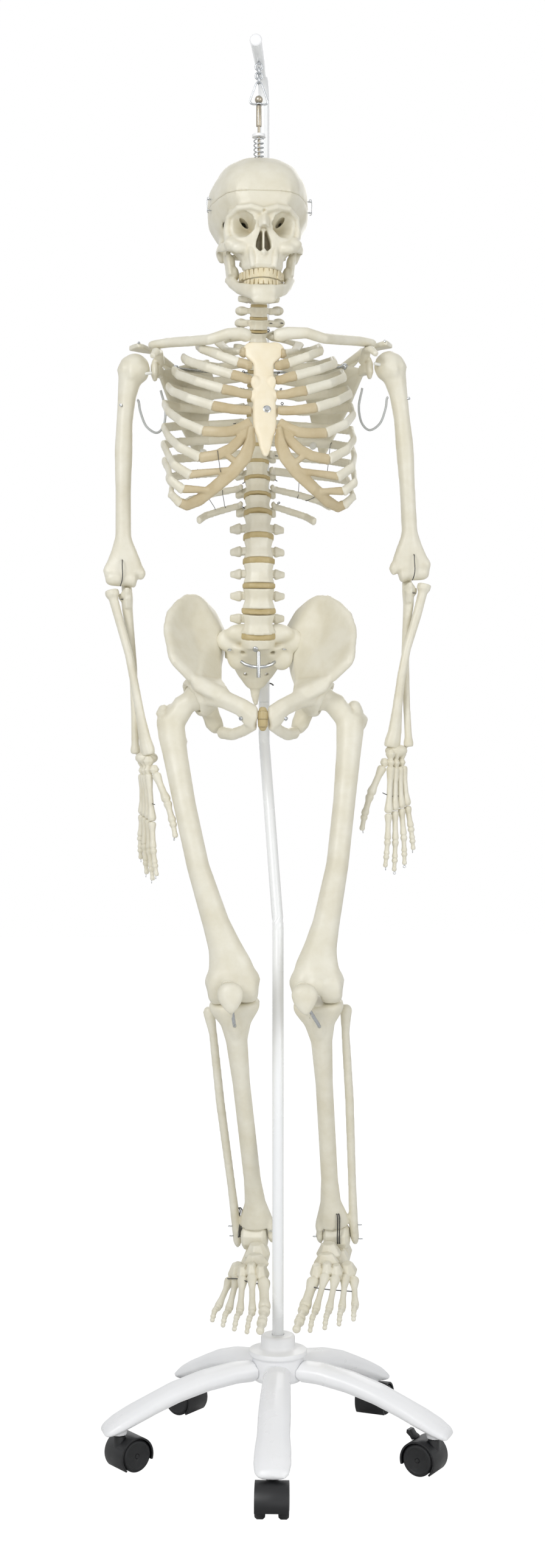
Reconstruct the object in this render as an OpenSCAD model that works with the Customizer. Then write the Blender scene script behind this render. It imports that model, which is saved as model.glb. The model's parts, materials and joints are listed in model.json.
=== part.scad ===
// Classroom skeleton hanging from a five-caster roller stand, life size, in millimetres.
// The skeleton faces -Y, its left side is at +X, and Z is up from the floor.

/* [Stand] */
// Distance from the hub axis to each caster stem
base_reach = 236; // [200:1:300]
// Direction of the front leg, in degrees from +X
base_turn = -97; // [-126:1:-54]
// Diameter of the hub boss that carries the legs
hub_d = 76; // [64:1:100]
// Diameter of the collar that grips the pole
collar_d = 50; // [40:1:64]
// Height of the top of the collar above the floor
collar_top = 178; // [160:1:200]
// Width of a leg at the hub
leg_w_root = 42; // [34:1:48]
// Width of a leg near its tip
leg_w_tip = 54; // [44:1:60]
// Diameter of the pole tube
pole_d = 16.6; // [14:0.1:20]
// Wall of the pole tube
pole_wall = 1.5; // [1:0.1:3]
// Height of the lower bend of the pole
bend_low = 778; // [700:1:820]
// Height of the upper bend of the pole
bend_high = 1048; // [1000:1:1100]
// Height of the joint between the two pole lengths
pole_joint = 1106; // [1080:1:1150]
// How far the upper pole stands behind the hub axis
pole_back = 112; // [100:1:140]
// Height of the axis of the overhanging tube
pole_top = 2046; // [1980:1:2120]
// How far the tube end stands in front of the hanging point
tube_front = 60; // [30:1:90]
// Bend radius of the pole axis
bend_r = 45; // [30:1:70]

/* [Casters] */
// Wheel diameter
wheel_d = 46; // [40:1:56]
// Width of each of the two wheels
wheel_w = 14; // [10:0.5:18]
// Space between the two wheels
wheel_gap = 18; // [12:0.5:24]
// Trail of the axle behind the stem
caster_trail = 16; // [8:1:22]
// Stem diameter
stem_d = 10; // [8:0.5:12]
// Axle diameter
axle_d = 6; // [5:0.5:8]
// Brake lever length
lever_l = 16; // [12:1:22]
// Width of the brake tab
lever_w = 14; // [10:1:20]

/* [Hanger] */
// Wire diameter of the eye screw, the chain and the ring
wire_d = 3; // [2:0.1:4]
// Outside diameter of the eye and of each chain link
link_d = 13; // [11:0.5:18]
// Height of the three-sided ring
ring_h = 36; // [28:1:44]
// Width of the three-sided ring
ring_w = 29; // [22:1:36]
// Diameter of the threaded rod
rod_d = 4; // [3:0.1:6]
// Diameter of the ball that sits in the ring
ball_d = 12; // [9:0.5:15]
// Diameter of the washer above the spring
washer_d = 20; // [16:1:26]
// Thickness of the washer
washer_t = 4; // [3:0.5:6]
// Outside diameter of the spring
spring_d = 16; // [13:0.5:20]
// Length of the spring
spring_h = 36; // [28:1:42]
// Wire diameter of the spring
spring_wire = 1.8; // [1.2:0.1:2.2]
// Number of curls in the spring
spring_turns = 5; // [4:1:7]

/* [Skull] */
// Width of the braincase
skull_w = 148; // [130:1:160]
// Length of the skull from brow to back
skull_l = 180; // [165:1:195]
// Height of the top of the skull above the neck joint
skull_h = 126; // [120:1:142]
// Thickness of the skull wall
skull_wall = 5; // [3.5:0.5:7]
// Height of the saw cut above the neck joint
cut_h = 59; // [50:1:75]
// Gap in the saw cut
cut_gap = 0.5; // [0.4:0.1:1]
// Height of the teeth line below the neck joint
bite_drop = 63; // [58:1:70]
// Width across the jaw hinge
jaw_w = 98; // [88:1:108]

/* [Spine] */
// Height of one neck vertebra with its disc
cervical_pitch = 17.2; // [15:0.1:19]
// Height of the first chest vertebra with its disc
thoracic_pitch_top = 17.6; // [15:0.1:20]
// Height of the last chest vertebra with its disc
thoracic_pitch_end = 27; // [24:0.1:30]
// Height of one loin vertebra with its disc
lumbar_pitch = 35.8; // [32:0.1:39]
// Width of the lowest vertebral body
lumbar_w = 52; // [46:1:58]
// Part of each step that is disc
disc_share = 0.2; // [0.15:0.01:0.28]

/* [Chest] */
// Width of the rib cage
chest_w = 278; // [250:1:310]
// Depth in front of the spine line at the breastbone
chest_front = 108; // [95:1:125]
// Half the distance between the shoulder joints
shoulder_half = 188; // [170:1:200]
// Height of the shoulder joints below the top of the chest spine
shoulder_drop = 53; // [40:1:70]

/* [Arms] */
// Diameter of the humeral head
shoulder_ball = 45; // [40:1:50]
// Length from shoulder centre to elbow axis
upper_arm = 307; // [270:1:330]
// Length from elbow axis to wrist
forearm = 264; // [230:1:280]
// Outward slope of the upper arms, in degrees
arm_slope = 5; // [2:0.5:9]
// Turn of the right hand towards its back, in degrees
turn_right = 112; // [0:1:170]
// Turn of the left hand towards its back, in degrees
turn_left = 150; // [0:1:170]
// Diameter of the shoulder cord
cord_d = 3.6; // [3:0.1:3.9]

/* [Pelvis] */
// Half the distance between the hip joints
hip_half = 86; // [78:1:94]
// Height of the hip joints below the base of the spine
hip_drop = 88; // [78:1:98]
// Diameter of the femoral head
hip_ball = 45; // [41:1:50]
// Width across the crests
crest_w = 272; // [250:1:295]

/* [Legs] */
// Length from hip centre to knee axis
thigh = 428; // [400:1:470]
// Length from knee axis to ankle axis
shin = 417; // [370:1:440]
// Width across the knee
knee_w = 80; // [72:1:88]
// Lean of both legs to +X, in degrees
leg_lean = 3.5; // [0:0.5:6]
// Turn of both legs about the vertical, in degrees
leg_yaw = -8; // [-14:1:0]
// Forward lean of the thighs, in degrees
thigh_lean = 6; // [0:1:12]
// Backward lean of the shins, in degrees
shin_lean = 21; // [10:1:26]
// Downward pitch of the feet, in degrees
foot_pitch = 9; // [4:1:30]
// Length of a foot from heel to big toe
foot_l = 245; // [215:1:260]

/* [Hidden] */
// Clearances
run_gap = 0.5;
joint_gap = 0.8;
seat = 0.4;
// Hanging point, measured from the hub axis
hang_x = -28;
hang_y = 0;
// How far the feet, the shoulder girdle and the left kneecap have drifted as the model hangs
foot_yaw = -7;
girdle_roll = 1.6;
girdle_x = 7;
kneecap_slip = 16;
pole_x_high = -6;
pole_x_top = -16;
// Heights worked down from the overhanging tube
eye_z = pole_top - pole_d / 2;
eye_c = eye_z - link_d / 2 - 1.5;
link_step = link_d - 2 * wire_d - 0.3;
ring_top = eye_c - 3 * link_step - link_d / 2 + 2 * wire_d + 0.4;
ring_foot = ring_top - ring_h;
ball_z = ring_foot + wire_d + ball_d / 2 + 0.3;
sleeve_top = ring_foot - 1;
sleeve_l = 30;
rod_show = 12;
washer_z = sleeve_top - sleeve_l - rod_show - washer_t;
skull_top = washer_z - spring_h;
neck_z = skull_top - skull_h;
spine_top = neck_z - 15;
// Spine levels: 0 is the second neck vertebra, 6 the first chest one, 18 the first loin one
function pitch(i) = i < 6 ? cervical_pitch
    : i < 18 ? thoracic_pitch_top + (thoracic_pitch_end - thoracic_pitch_top) * (i - 6) / 11
    : lumbar_pitch;
function level(i) = i <= 0 ? spine_top : level(i - 1) - pitch(i - 1);
function spine_y(i) = lookup(i, [[0, 4], [1, 1], [2, -0.5], [3, -0.5], [4, 1], [5, 4.5], [6, 10],
    [7, 17.5], [8, 24.5], [9, 30.5], [10, 35.5], [11, 39], [12, 41], [13, 41.5], [14, 40], [15, 37],
    [16, 32.5], [17, 26], [18, 17.5], [19, 9], [20, 3], [21, 1], [22, 5], [23, 14], [24, 24]]);
function spine_tilt(i) = atan2(spine_y(i + 1) - spine_y(i), pitch(i));
function mid_z(i) = (level(i) + level(i + 1)) / 2;
function mid_y(i) = (spine_y(i) + spine_y(i + 1)) / 2;
function body_w(i) = lookup(i, [[0, 20], [5, 28], [6, 29], [12, 32], [17, 42], [22, lumbar_w]]);
function body_d(i) = lookup(i, [[0, 15], [5, 18], [6, 19], [12, 29], [17, 32], [22, 36]]);
base_z = level(23);
chest_top = level(6);
hip_z = base_z - hip_drop;
hip_y = 0;
shoulder_z = chest_top - shoulder_drop;
shoulder_y = 18;
hip_r = hip_ball / 2;
shoulder_r = shoulder_ball / 2;

// Small helpers for points and rings
function unit(v) = v / norm(v);
function mix(a, b, t) = a + (b - a) * t;
function squared(x, k) = sign(x) * pow(abs(x), k);
function ring(c, u, v, a, b, n, k = 1) = [for (i = [0:n - 1]) let (t = 360 * (i + 0.5) / n)
    c + u * a * squared(cos(t), k) + v * b * squared(sin(t), k)];
function heading(p, i) = unit(p[min(i + 1, len(p) - 1)] - p[max(i - 1, 0)]);
function across(t, ref) = unit(ref - t * (ref * t));
function rings_along(p, s, ref, n) = [for (i = [0:len(p) - 1])
    let (t = heading(p, i), u = across(t, ref)) ring(p[i], u, cross(t, u), s[i][0], s[i][1], n)];
function curve_at(p, x) = let (i = min(floor(x), len(p) - 2), t = x - i, a = p[max(i - 1, 0)],
    b = p[i], c = p[i + 1], d = p[min(i + 2, len(p) - 1)])
    0.5 * (2 * b + (c - a) * t + (2 * a - 5 * b + 4 * c - d) * t * t
        + (3 * b - a - 3 * c + d) * t * t * t);
function curve(p, n) = [for (k = [0:n]) curve_at(p, k * (len(p) - 1) / n)];

// A closed skin over rings that have the same number of points
module skin(rings) {
    n = len(rings[0]);
    m = len(rings);
    sides = [for (j = [0:m - 2], i = [0:n - 1]) let (k = (i + 1) % n)
        each [[j * n + i, (j + 1) * n + i, (j + 1) * n + k],
            [j * n + i, (j + 1) * n + k, j * n + k]]];
    foot = [for (i = [1:n - 2]) [0, i, i + 1]];
    head = [for (i = [1:n - 2]) [(m - 1) * n, (m - 1) * n + i + 1, (m - 1) * n + i]];
    polyhedron(points = [for (r = rings) each r], faces = concat(foot, sides, head));
}

// A skin over rings that close on themselves
module loop_skin(rings) {
    n = len(rings[0]);
    m = len(rings);
    sides = [for (j = [0:m - 1], i = [0:n - 1]) let (k = (i + 1) % n, h = (j + 1) % m)
        each [[j * n + i, h * n + i, h * n + k], [j * n + i, h * n + k, j * n + k]]];
    polyhedron(points = [for (r = rings) each r], faces = sides);
}

// A bone shaft through stations of x, y, z and two half sizes, the first along ref
module bone(stations, ref, n = 8, steps = 0) {
    c = steps > 0 ? curve(stations, steps) : stations;
    skin(rings_along([for (q = c) [q[0], q[1], q[2]]], [for (q = c) [q[3], q[4]]], ref, n));
}

// A rounded lump
module knob(at, half, n = 8) {
    translate(at) hull() scale(half) sphere(1, $fn = n);
}

// A rounded web between points
module web(points, r, n = 4) {
    hull() for (p = points) translate(p) rotate([0, 0, 20]) sphere(n > 4 ? r : r * 1.2, $fn = n);
}

// A small pebble-shaped bone
module pebble(at, half, n = 7) {
    skin([for (a = [-58, 0, 58])
        ring(at + [0, 0, half[2] * sin(a) * 1.12], [1, 0, 0], [0, 1, 0], half[0] * cos(a) * 1.06,
            half[1] * cos(a) * 1.06, n)]);
}

// Places children with +Z along the line from a to b
module along(a, b) {
    d = b - a;
    translate(a) rotate([0, acos(d[2] / norm(d)), atan2(d[1], d[0])]) children();
}

// A turned finger or toe bone from a to b with base, waist and head radii
module rod_bone(a, b, r1, rw, r2) {
    l = norm(b - a);
    along(a, b) rotate_extrude() polygon([[0, 0], [r1 * 0.75, 0], [r1, r1 * 0.45],
        [r1 * 0.97, r1 * 0.9], [rw, l * 0.35], [rw, l * 0.68], [r2 * 0.97, l - r2 * 1.15],
        [r2, l - r2 * 0.6], [r2 * 0.7, l], [0, l]]);
}

// A round wire along points
module wire(points, d, n = 8) {
    r = d / 2;
    skin(rings_along(points, [for (p = points) [r, r]], [0.31, 0.22, 0.92], n));
}

module hung() {
    translate([hang_x, hang_y, 0]) children();
}

// Mirrors children for the right side when s is -1
module side(s) {
    mirror([s < 0 ? 1 : 0, 0, 0]) children();
}

// Stand
leg_angles = [for (k = [0:4]) base_turn + 72 * k];
caster_turns = [-97, 145, 62, 140, 32];
boss_d = 22;
boss_foot = wheel_d + 5;
stem_top = boss_foot + 24;
pole_x = -11;
pole_off = norm([pole_x, pole_back]);
pole_dir = atan2(pole_back, pole_x);
slope = atan2(pole_off, bend_high - bend_low);
bend_t = bend_r * tan(slope / 2);
slant_l = norm([pole_off, bend_high - bend_low]) - 2 * bend_t;
pole_foot = collar_top - 56;
spigot_l = pole_joint - bend_high - bend_t - 6;
spigot_d = pole_d - 2 * pole_wall - 2 * 0.3;
tube_reach = norm([hang_x - pole_x, hang_y - pole_back]);
tube_dir = atan2(hang_y - pole_back, hang_x - pole_x);
seam = 0.4;

module base_hub() {
    color("#EEF0F4") difference() {
        rotate_extrude() polygon([[0, collar_top - 66], [hub_d / 2 - 4, collar_top - 66],
            [hub_d / 2, collar_top - 60], [hub_d / 2, collar_top - 31],
            [hub_d / 2 + 4.5, collar_top - 29], [hub_d / 2 + 4.5, collar_top - 22],
            [collar_d / 2 + 2, collar_top - 19.5], [collar_d / 2, collar_top - 17],
            [collar_d / 2, collar_top - 3], [collar_d / 2 - 3, collar_top], [0, collar_top]]);
        translate([0, 0, pole_foot - seat]) cylinder(h = 80, d = pole_d + 2 * seat);
    }
}

module base_leg() {
    e = base_reach;
    difference() {
        union() {
            bone([[hub_d / 2 - 8, 0, collar_top - 50, leg_w_root / 2, 16],
                [e * 0.34, 0, collar_top - 53, leg_w_root / 2 + 0.5, 16],
                [e * 0.6, 0, collar_top - 68, leg_w_root / 2 + 3, 15],
                [e * 0.8, 0, collar_top - 87, leg_w_tip / 2 - 3, 14],
                [e * 0.95, 0, boss_foot + 24, leg_w_tip / 2, 13],
                [e + 14, 0, boss_foot + 11, leg_w_tip / 2 - 1, 10],
                [e + 24, 0, boss_foot + 5, leg_w_tip / 2 - 8, 4.4]], [0, 1, 0], 10, 8);
            translate([e, 0, boss_foot]) cylinder(h = 20, d = boss_d);
        }
        translate([0, 0, collar_top - 120]) cylinder(h = 140, d = hub_d + 2 * seat);
        translate([0, 0, collar_top - 30]) cylinder(h = 60, d = hub_d + 9 + 2 * seat);
        translate([e, 0, boss_foot - 1]) cylinder(h = stem_top - boss_foot + 1 + run_gap,
            d = stem_d + 2 * run_gap);
    }
}

module base_legs() {
    color("#EEF0F4") for (a = leg_angles) rotate([0, 0, a]) base_leg();
}

// The lower pole as a solid bar of radius r
function bend_arc(a) = [bend_r * (1 - cos(a)), 0, bend_r * sin(a)];

module pole_lower() {
    low = [0, 0, bend_low - bend_t];
    high = [pole_off, 0, bend_high + bend_t];
    bore = pole_d - 2 * pole_wall;
    color("#E4E8EA") rotate([0, 0, pole_dir]) difference() {
        union() {
            translate([0, 0, pole_foot]) cylinder(h = low[2] - pole_foot, d = pole_d);
            wire(concat([low - [0, 0, 3]], [for (a = [0, 0.5, 1]) low + bend_arc(a * slope)],
                [for (a = [1, 0.5, 0]) high - bend_arc(a * slope)], [high + [0, 0, 3]]), pole_d - 0.1, 16);
            translate(high) cylinder(h = pole_joint - high[2], d = pole_d);
        }
        translate([0, 0, pole_foot - 1]) cylinder(h = low[2] - pole_foot - 5, d = bore);
        translate(high + [0, 0, 4]) cylinder(h = pole_joint - high[2], d = bore);
    }
}

// The upper pole as a solid bar of radius r, from height z to the tube end
module upper_bar(r, z, more = 0) {
    translate([pole_x, pole_back, 0]) rotate([0, 0, tube_dir]) {
        translate([0, 0, z]) cylinder(h = pole_top - bend_r - z, r = r);
        translate([bend_r, 0, pole_top - bend_r]) rotate([90, 0, 0]) rotate([0, 0, 90])
            rotate_extrude(angle = 90) translate([bend_r, 0]) circle(r = r);
        translate([bend_r, 0, pole_top]) rotate([0, 90, 0])
            cylinder(h = tube_reach + tube_front - bend_r + more, r = r);
    }
}

module pole_upper() {
    color("#E4E8EA") {
        difference() {
            union() {
                upper_bar(pole_d / 2, pole_joint + seam);
                translate([pole_x, pole_back, pole_joint - spigot_l])
                    cylinder(h = spigot_l + 8, d = spigot_d);
            }
            upper_bar(pole_d / 2 - pole_wall, pole_joint + 14, 1);
            translate([hang_x, hang_y, eye_z - 5]) cylinder(h = 8, d = wire_d + 2 * seat);
        }
    }
}

module pole_cap() {
    color("#EEF0F4") translate([pole_x, pole_back, pole_top]) rotate([0, 0, tube_dir])
        rotate([0, 90, 0]) translate([0, 0, tube_reach + tube_front + seat]) rotate_extrude()
        polygon([[0, -9], [pole_d / 2 - pole_wall - seat, -9], [pole_d / 2 - pole_wall - seat, 0],
            [pole_d / 2 + 0.7, 0], [pole_d / 2 + 0.7, 2.6], [pole_d / 2 - 1, 4.2], [0, 4.2]]);
}

module eye_screw() {
    color("#B9BCC0") translate([hang_x, hang_y, 0]) {
        translate([0, 0, eye_c]) rotate([90, 0, 0]) rotate_extrude()
            translate([(link_d - wire_d) / 2, 0]) circle(d = wire_d);
        translate([0, 0, eye_c + (link_d - wire_d) / 2]) cylinder(h = 12, d = wire_d);
    }
}

// Casters
hood_r = wheel_d / 2 + 2.2;
axle_z = wheel_d / 2;
caster_w = 2 * wheel_w + wheel_gap;

module caster_place(k) {
    translate([base_reach * cos(leg_angles[k]), base_reach * sin(leg_angles[k]), 0])
        rotate([0, 0, caster_turns[k]]) children();
}

// The hood over the wheels, the web between them and the stem, axle along Y
module caster_fork(k) {
    color("#15171C") caster_place(k) {
        difference() {
            union() {
                translate([caster_trail, (wheel_gap - 4) / 2, axle_z]) rotate([90, 0, 0])
                    linear_extrude(wheel_gap - 4) difference() {
                    circle(r = hood_r);
                    translate([-60, -120 - 8]) square([120, 120]);
                    rotate([0, 0, 8]) translate([0, -60]) square([60, 60 - 2]);
                }
                translate([caster_trail, caster_w / 2, axle_z]) rotate([90, 0, 0])
                    linear_extrude(caster_w) difference() {
                    circle(r = hood_r + 1.8);
                    circle(r = hood_r - 0.8);
                    translate([0, -88]) square([80, 80]);
                    rotate([0, 0, 225]) square([80, 80]);
                }
                translate([0, 0, axle_z + hood_r - 16]) cylinder(h = boss_foot - run_gap
                    - axle_z - hood_r + 16, d = 17);
                cylinder_at_axle();
            }
        }
        translate([0, 0, axle_z + hood_r - 12]) cylinder(h = stem_top - axle_z - hood_r + 12,
            d = stem_d);
    }
}

module cylinder_at_axle() {
    translate([caster_trail, caster_w / 2 - 1, axle_z]) rotate([90, 0, 0])
        cylinder(h = caster_w - 2, d = axle_d);
}

module caster_wheels(k) {
    r = wheel_d / 2;
    color("#1B1D22") caster_place(k) for (s = [-1, 1])
        translate([caster_trail, s * (wheel_gap / 2 + wheel_w / 2), axle_z]) rotate([90, 0, 0])
            rotate_extrude() polygon([[axle_d / 2 + run_gap, -wheel_w / 2 + 1],
                [r - 7, -wheel_w / 2 + 1], [r - 5, -wheel_w / 2], [r - 2.5, -wheel_w / 2],
                [r, -wheel_w / 2 + 3], [r, wheel_w / 2 - 3], [r - 2.5, wheel_w / 2],
                [r - 5, wheel_w / 2], [r - 7, wheel_w / 2 - 1],
                [axle_d / 2 + run_gap, wheel_w / 2 - 1]]);
}

brake_k = 1;

module brake_lever() {
    h = hood_r + 1.8;
    color("#15171C") caster_place(brake_k) translate([caster_trail, 0, axle_z])
        rotate([0, 26, 0]) translate([0, 0, h + seat]) rotate([90, 0, 0])
        linear_extrude(lever_w, center = true) polygon([[-3, 0], [4, 0], [5, lever_l * 0.35],
            [8, lever_l * 0.75], [5.4, lever_l], [1.4, lever_l * 0.86], [0, lever_l * 0.4], [-3, 2.4]]);
}

// Hanger
eye_hole = rod_d / 2 + 0.6;
eyelet_r = eye_hole + wire_d / 2;
eyelet_z = ring_foot + wire_d / 2;
ball_c = eyelet_z + sqrt(pow(ball_d / 2 + wire_d / 2, 2) - pow(eyelet_r, 2)) + seat;

module chain() {
    color("#B9BCC0") hung() for (k = [1:3]) translate([0, 0, eye_c - k * link_step])
        rotate([0, 0, k % 2 == 1 ? 90 : 0]) rotate([90, 0, 0]) rotate_extrude()
        translate([(link_d - wire_d) / 2, 0]) circle(d = wire_d);
}

module hanger_ring() {
    w = ring_w / 2 - wire_d / 2;
    t = ring_top - wire_d / 2;
    bends = [[eyelet_r, 0, eyelet_z], [w - 4, 0, eyelet_z], [w - 1, 0, eyelet_z + 1.2],
        [w, 0, eyelet_z + 4], [w - 1, 0, eyelet_z + 8], [4.5, 0, t - 4], [2.6, 0, t - 1.2],
        [0, 0, t], [-2.6, 0, t - 1.2], [-4.5, 0, t - 4], [1 - w, 0, eyelet_z + 8],
        [-w, 0, eyelet_z + 4], [1 - w, 0, eyelet_z + 1.2], [4 - w, 0, eyelet_z],
        [-eyelet_r, 0, eyelet_z]];
    color("#C4C2BC") hung() {
        for (i = [0:len(bends) - 2]) hull() {
            translate(bends[i]) sphere(d = wire_d, $fn = 8);
            translate(bends[i + 1]) sphere(d = wire_d, $fn = 8);
        }
        translate([0, 0, eyelet_z]) rotate_extrude($fn = 14) translate([eyelet_r, 0])
            circle(d = wire_d, $fn = 8);
    }
}

rod_foot = neck_z + 2;

module hanger_rod() {
    color("#8A7448") hung() {
        translate([0, 0, ball_c]) sphere(d = ball_d);
        translate([0, 0, rod_foot]) cylinder(h = ball_c - rod_foot, d = rod_d);
        translate([0, 0, sleeve_top - sleeve_l]) cylinder(h = sleeve_l, d = 2 * rod_d);
    }
}

module hanger_washer() {
    color("#F2F2EE") hung() translate([0, 0, washer_z]) difference() {
        cylinder(h = washer_t, d = washer_d);
        translate([0, 0, -1]) cylinder(h = washer_t + 2, d = rod_d + 2 * seat);
    }
}

// Spring: one unbroken wire with straight ends that stand square on what they meet
spring_r = (spring_d - spring_wire) / 2;
spring_lift = spring_h - 2 * seat - 2 * spring_wire;
spring_points = concat([[spring_r, 0, skull_top + seat]],
    [for (i = [0:8 * spring_turns]) let (a = 45 * i)
        [spring_r * cos(a), spring_r * sin(a),
            skull_top + seat + spring_wire + spring_lift * i / (8 * spring_turns)]],
    [[spring_r, 0, washer_z - seat]]);
spring_gap = min([for (i = [1:8 * spring_turns + 1], j = [1:8 * spring_turns + 1])
    if (j > i + 5) norm(spring_points[i] - spring_points[j])]) - spring_wire;
echo("least gap between spring curls", spring_gap);

module hanger_spring() {
    color("#9A9CA0") hung() wire(spring_points, spring_wire, 7);
}

// Skull, in its own place: x across, y back, z above the neck joint
half_w = skull_w / 2;
back_y = skull_l / 2;
function case_rings(t, n) = [for (q = [[-0.985, 0.30, 0.57, 0.3], [-0.93, 0.53, 0.70, 0.25],
        [-0.78, 0.70, 0.83, 0.22], [-0.5, 0.83, 0.945, 0.14], [-0.15, 0.94, 0.995, -0.02],
        [0.2, 1, 0.985, -0.03], [0.52, 0.96, 0.9, -0.02], [0.77, 0.78, 0.78, 0.06],
        [0.93, 0.5, 0.66, 0.17], [1, 0.2, 0.52, 0.3]])
    let (y = q[0] * back_y, w = q[1] * half_w - t, a = q[2] * skull_h - t, b = q[3] * skull_h + t)
    ring([0, y - sign(y) * t, (a + b) / 2], [0, 0, 1], [1, 0, 0], (a - b) * 0.515, w * 1.03, n, 0.86)];

module braincase(t, n = 12) {
    hull() skin(case_rings(t, n));
}

jaw_x = jaw_w / 2;
bite = -bite_drop;
face = -back_y;

// Teeth stand on an arch
function arch(a, w, d, front) = [w * sin(a), front + d * (1 - cos(a))];
tooth_angles = [for (k = [0:7]) lookup(k, [[0, 7.5], [1, 21], [2, 34], [3, 46], [4, 57], [5, 69],
    [6, 83], [7, 97]])];

module tooth(root, tip) {
    low = root[2] < tip[2] ? root : tip;
    high = root[2] < tip[2] ? tip : root;
    skin([for (q = [low, high]) ring([0, 0, q[2]], [1, 0, 0], [0, 1, 0], q[0] * 0.707, q[1] * 0.707, 4)]);
}

module tooth_row(w, d, front, root_z, tip_z, big) {
    for (s = [-1, 1], k = [0:7]) {
        a = tooth_angles[k];
        p = arch(a, w, d, front);
        wide = (k < 2 ? 4.1 - k * 0.6 : k < 3 ? 3.9 : k < 5 ? 3.5 : 4.9) * big;
        deep = k < 3 ? 3 : k < 5 ? 4 : 5;
        tip = tip_z + (k > 4 ? (root_z - tip_z) * 0.16 : 0);
        translate([s * p[0], p[1], 0]) rotate([0, 0, s * atan2(d * sin(a), w * cos(a))])
            tooth([1.5 * wide, deep * 1.6, root_z], [2 * wide - 0.5, k < 3 ? 2 : deep * 1.5, tip]);
    }
}

module face_block() {
    skin([for (q = [[-50, 26, 5, 22], [-45, 29.5, 1, 28], [-35, 30, 2, 30], [-25, 36, 4, 34],
        [-15, 46, 5, 36], [-3, 50, 3, 38], [12, 50, 2, 40], [26, 51, -1, 42], [36, 50, -2, 42],
        [46, 45, 2, 42]]) ring([0, face + q[2] + q[3], q[0]], [1, 0, 0], [0, 1, 0], q[1], q[3], 12,
            0.9)]);
}

module face_half() {
    // brow, cheek and arch
    bone([[2, face - 1, 30, 6, 5], [18, face, 35, 6, 5], [36, face + 8, 35, 5, 5],
        [49, face + 24, 26, 5, 4], [52, face + 31, 10, 6, 4], [49, face + 27, -10, 7, 6]],
        [0, 1, 0], 6);
    knob([46, face + 22, -13], [11, 10, 12], 6);
    bone([[46, face + 24, -13, 10, 6], [56, face + 42, -13, 7, 4], [61, face + 62, -12, 5, 3],
        [62, face + 80, -9, 5, 3], [60, face + 98, -5, 6, 4], [56, face + 110, 2, 8, 6]],
        [0, 0, 1], 6);
    // canine ridge
    bone([[15, face + 6, -49, 4, 4], [17, face + 5, -36, 4, 4], [18, face + 10, -22, 4, 4]],
        [1, 0, 0], 6);
    // wall between the eye and the temple, and the plates behind the upper jaw
    web([[44, face + 52, 18], [40, face + 58, -4], [30, face + 58, -16], [18, face + 58, -16],
        [16, face + 62, 16]], 5);
    web([[12, face + 62, -14], [16, face + 64, -36], [14, face + 54, -40], [18, face + 50, -20]], 3);
    // mastoid, joint seat and condyle
    knob([53, 14, -6], [11, 14, 17], 6);
    knob([50, 1, 7], [12, 11, 9], 6);
    knob([15, -6, -0.5], [8, 12, 8], 6);
}

module skull_solid() {
    braincase(0);
    face_block();
    for (s = [-1, 1]) side(s) face_half();
    // nose bridge
    web([[0, face + 2, 30], [0, face - 2, 22], [0, face - 8, 9], [5, face - 2, 9],
        [-5, face - 2, 9], [6, face + 6, 26], [-6, face + 6, 26]], 3.4);
    knob([0, -30, 0.2], [20, 26, 9], 6);
    knob([0, 86, 20], [18, 8, 7], 6);
    knob([0, face + 2, -28], [5, 4, 5], 5);
}

module skull() {
    color("#E6E2D3") hung() translate([0, 0, neck_z]) difference() {
        union() {
            difference() {
                skull_solid();
                braincase(skull_wall, 10);
            }
            translate([0, 0, -3]) cylinder(h = 16, r = 9, $fn = 8);
        }
        translate([0, 0, cut_h + 100]) cube([400, 400, 200], center = true);
        for (s = [-1, 1]) side(s) {
            // eye socket
            hull() {
                translate([33, face + 4, 13]) rotate([0, 0, 22]) rotate([90, 0, 0])
                    scale([20.4, 18.8, 1]) cylinder(h = 20, r = 1, center = true, $fn = 10);
                translate([18, face + 42, 12]) sphere(4, $fn = 6);
            }
            // joint seat of the jaw
            translate([jaw_x - 1, -12, -1]) rotate([0, 90, 0]) cylinder(h = 26, r = 8.6,
                center = true, $fn = 8);
            // temple hollow behind the cheek
            hull() {
                translate([51, face + 60, -20]) scale([8, 17, 22]) sphere(1, $fn = 6);
                translate([52, face + 62, 20]) scale([4, 16, 12]) sphere(1, $fn = 6);
            }
            hull() {
                translate([44, face + 58, -34]) scale([10, 22, 14]) sphere(1, $fn = 6);
                translate([40, face + 76, -44]) scale([10, 22, 14]) sphere(1, $fn = 6);
            }
        }
        // nose opening with its two sides
        for (s = [-1, 1]) side(s) hull() {
            translate([1.2, face - 20, -26]) cube([5.4, 58, 0.1]);
            translate([1.2, face - 20, -20]) cube([10.4, 58, 0.1]);
            translate([1.2, face - 20, -10]) cube([9, 58, 0.1]);
            translate([1.2, face - 20, 8]) cube([2.4, 52, 0.1]);
        }
        translate([-4, face - 20, -23]) cube([8, 27, 31]);
        // opening for the spinal cord and bore for the rod
        translate([0, 25, -30]) scale([14, 15, 1]) cylinder(h = 60, r = 1, $fn = 10);
        translate([0, 0, rod_foot - neck_z - seat]) cylinder(h = 60, d = rod_d + 2 * seat + 0.4,
            $fn = 8);
        // roof of the mouth
        hull() {
            translate([0, face + 34, bite + 11]) scale([19, 24, 7]) sphere(1, $fn = 6);
            translate([0, face + 70, bite + 12]) scale([19, 10, 9]) sphere(1, $fn = 6);
        }
        translate([-60, face + 55, -60]) cube([120, 40, 18]);
        translate([-30, -27, -60]) cube([60, 40, 51.5]);
    }
}

module skull_cap() {
    color("#E6E2D3") hung() translate([0, 0, neck_z]) difference() {
        braincase(0);
        braincase(skull_wall, 10);
        translate([0, 0, cut_h + cut_gap - 100]) cube([400, 400, 200], center = true);
        translate([0, 0, skull_h - 20]) cylinder(h = 40, d = rod_d + 2, $fn = 8);
    }
}

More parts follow.
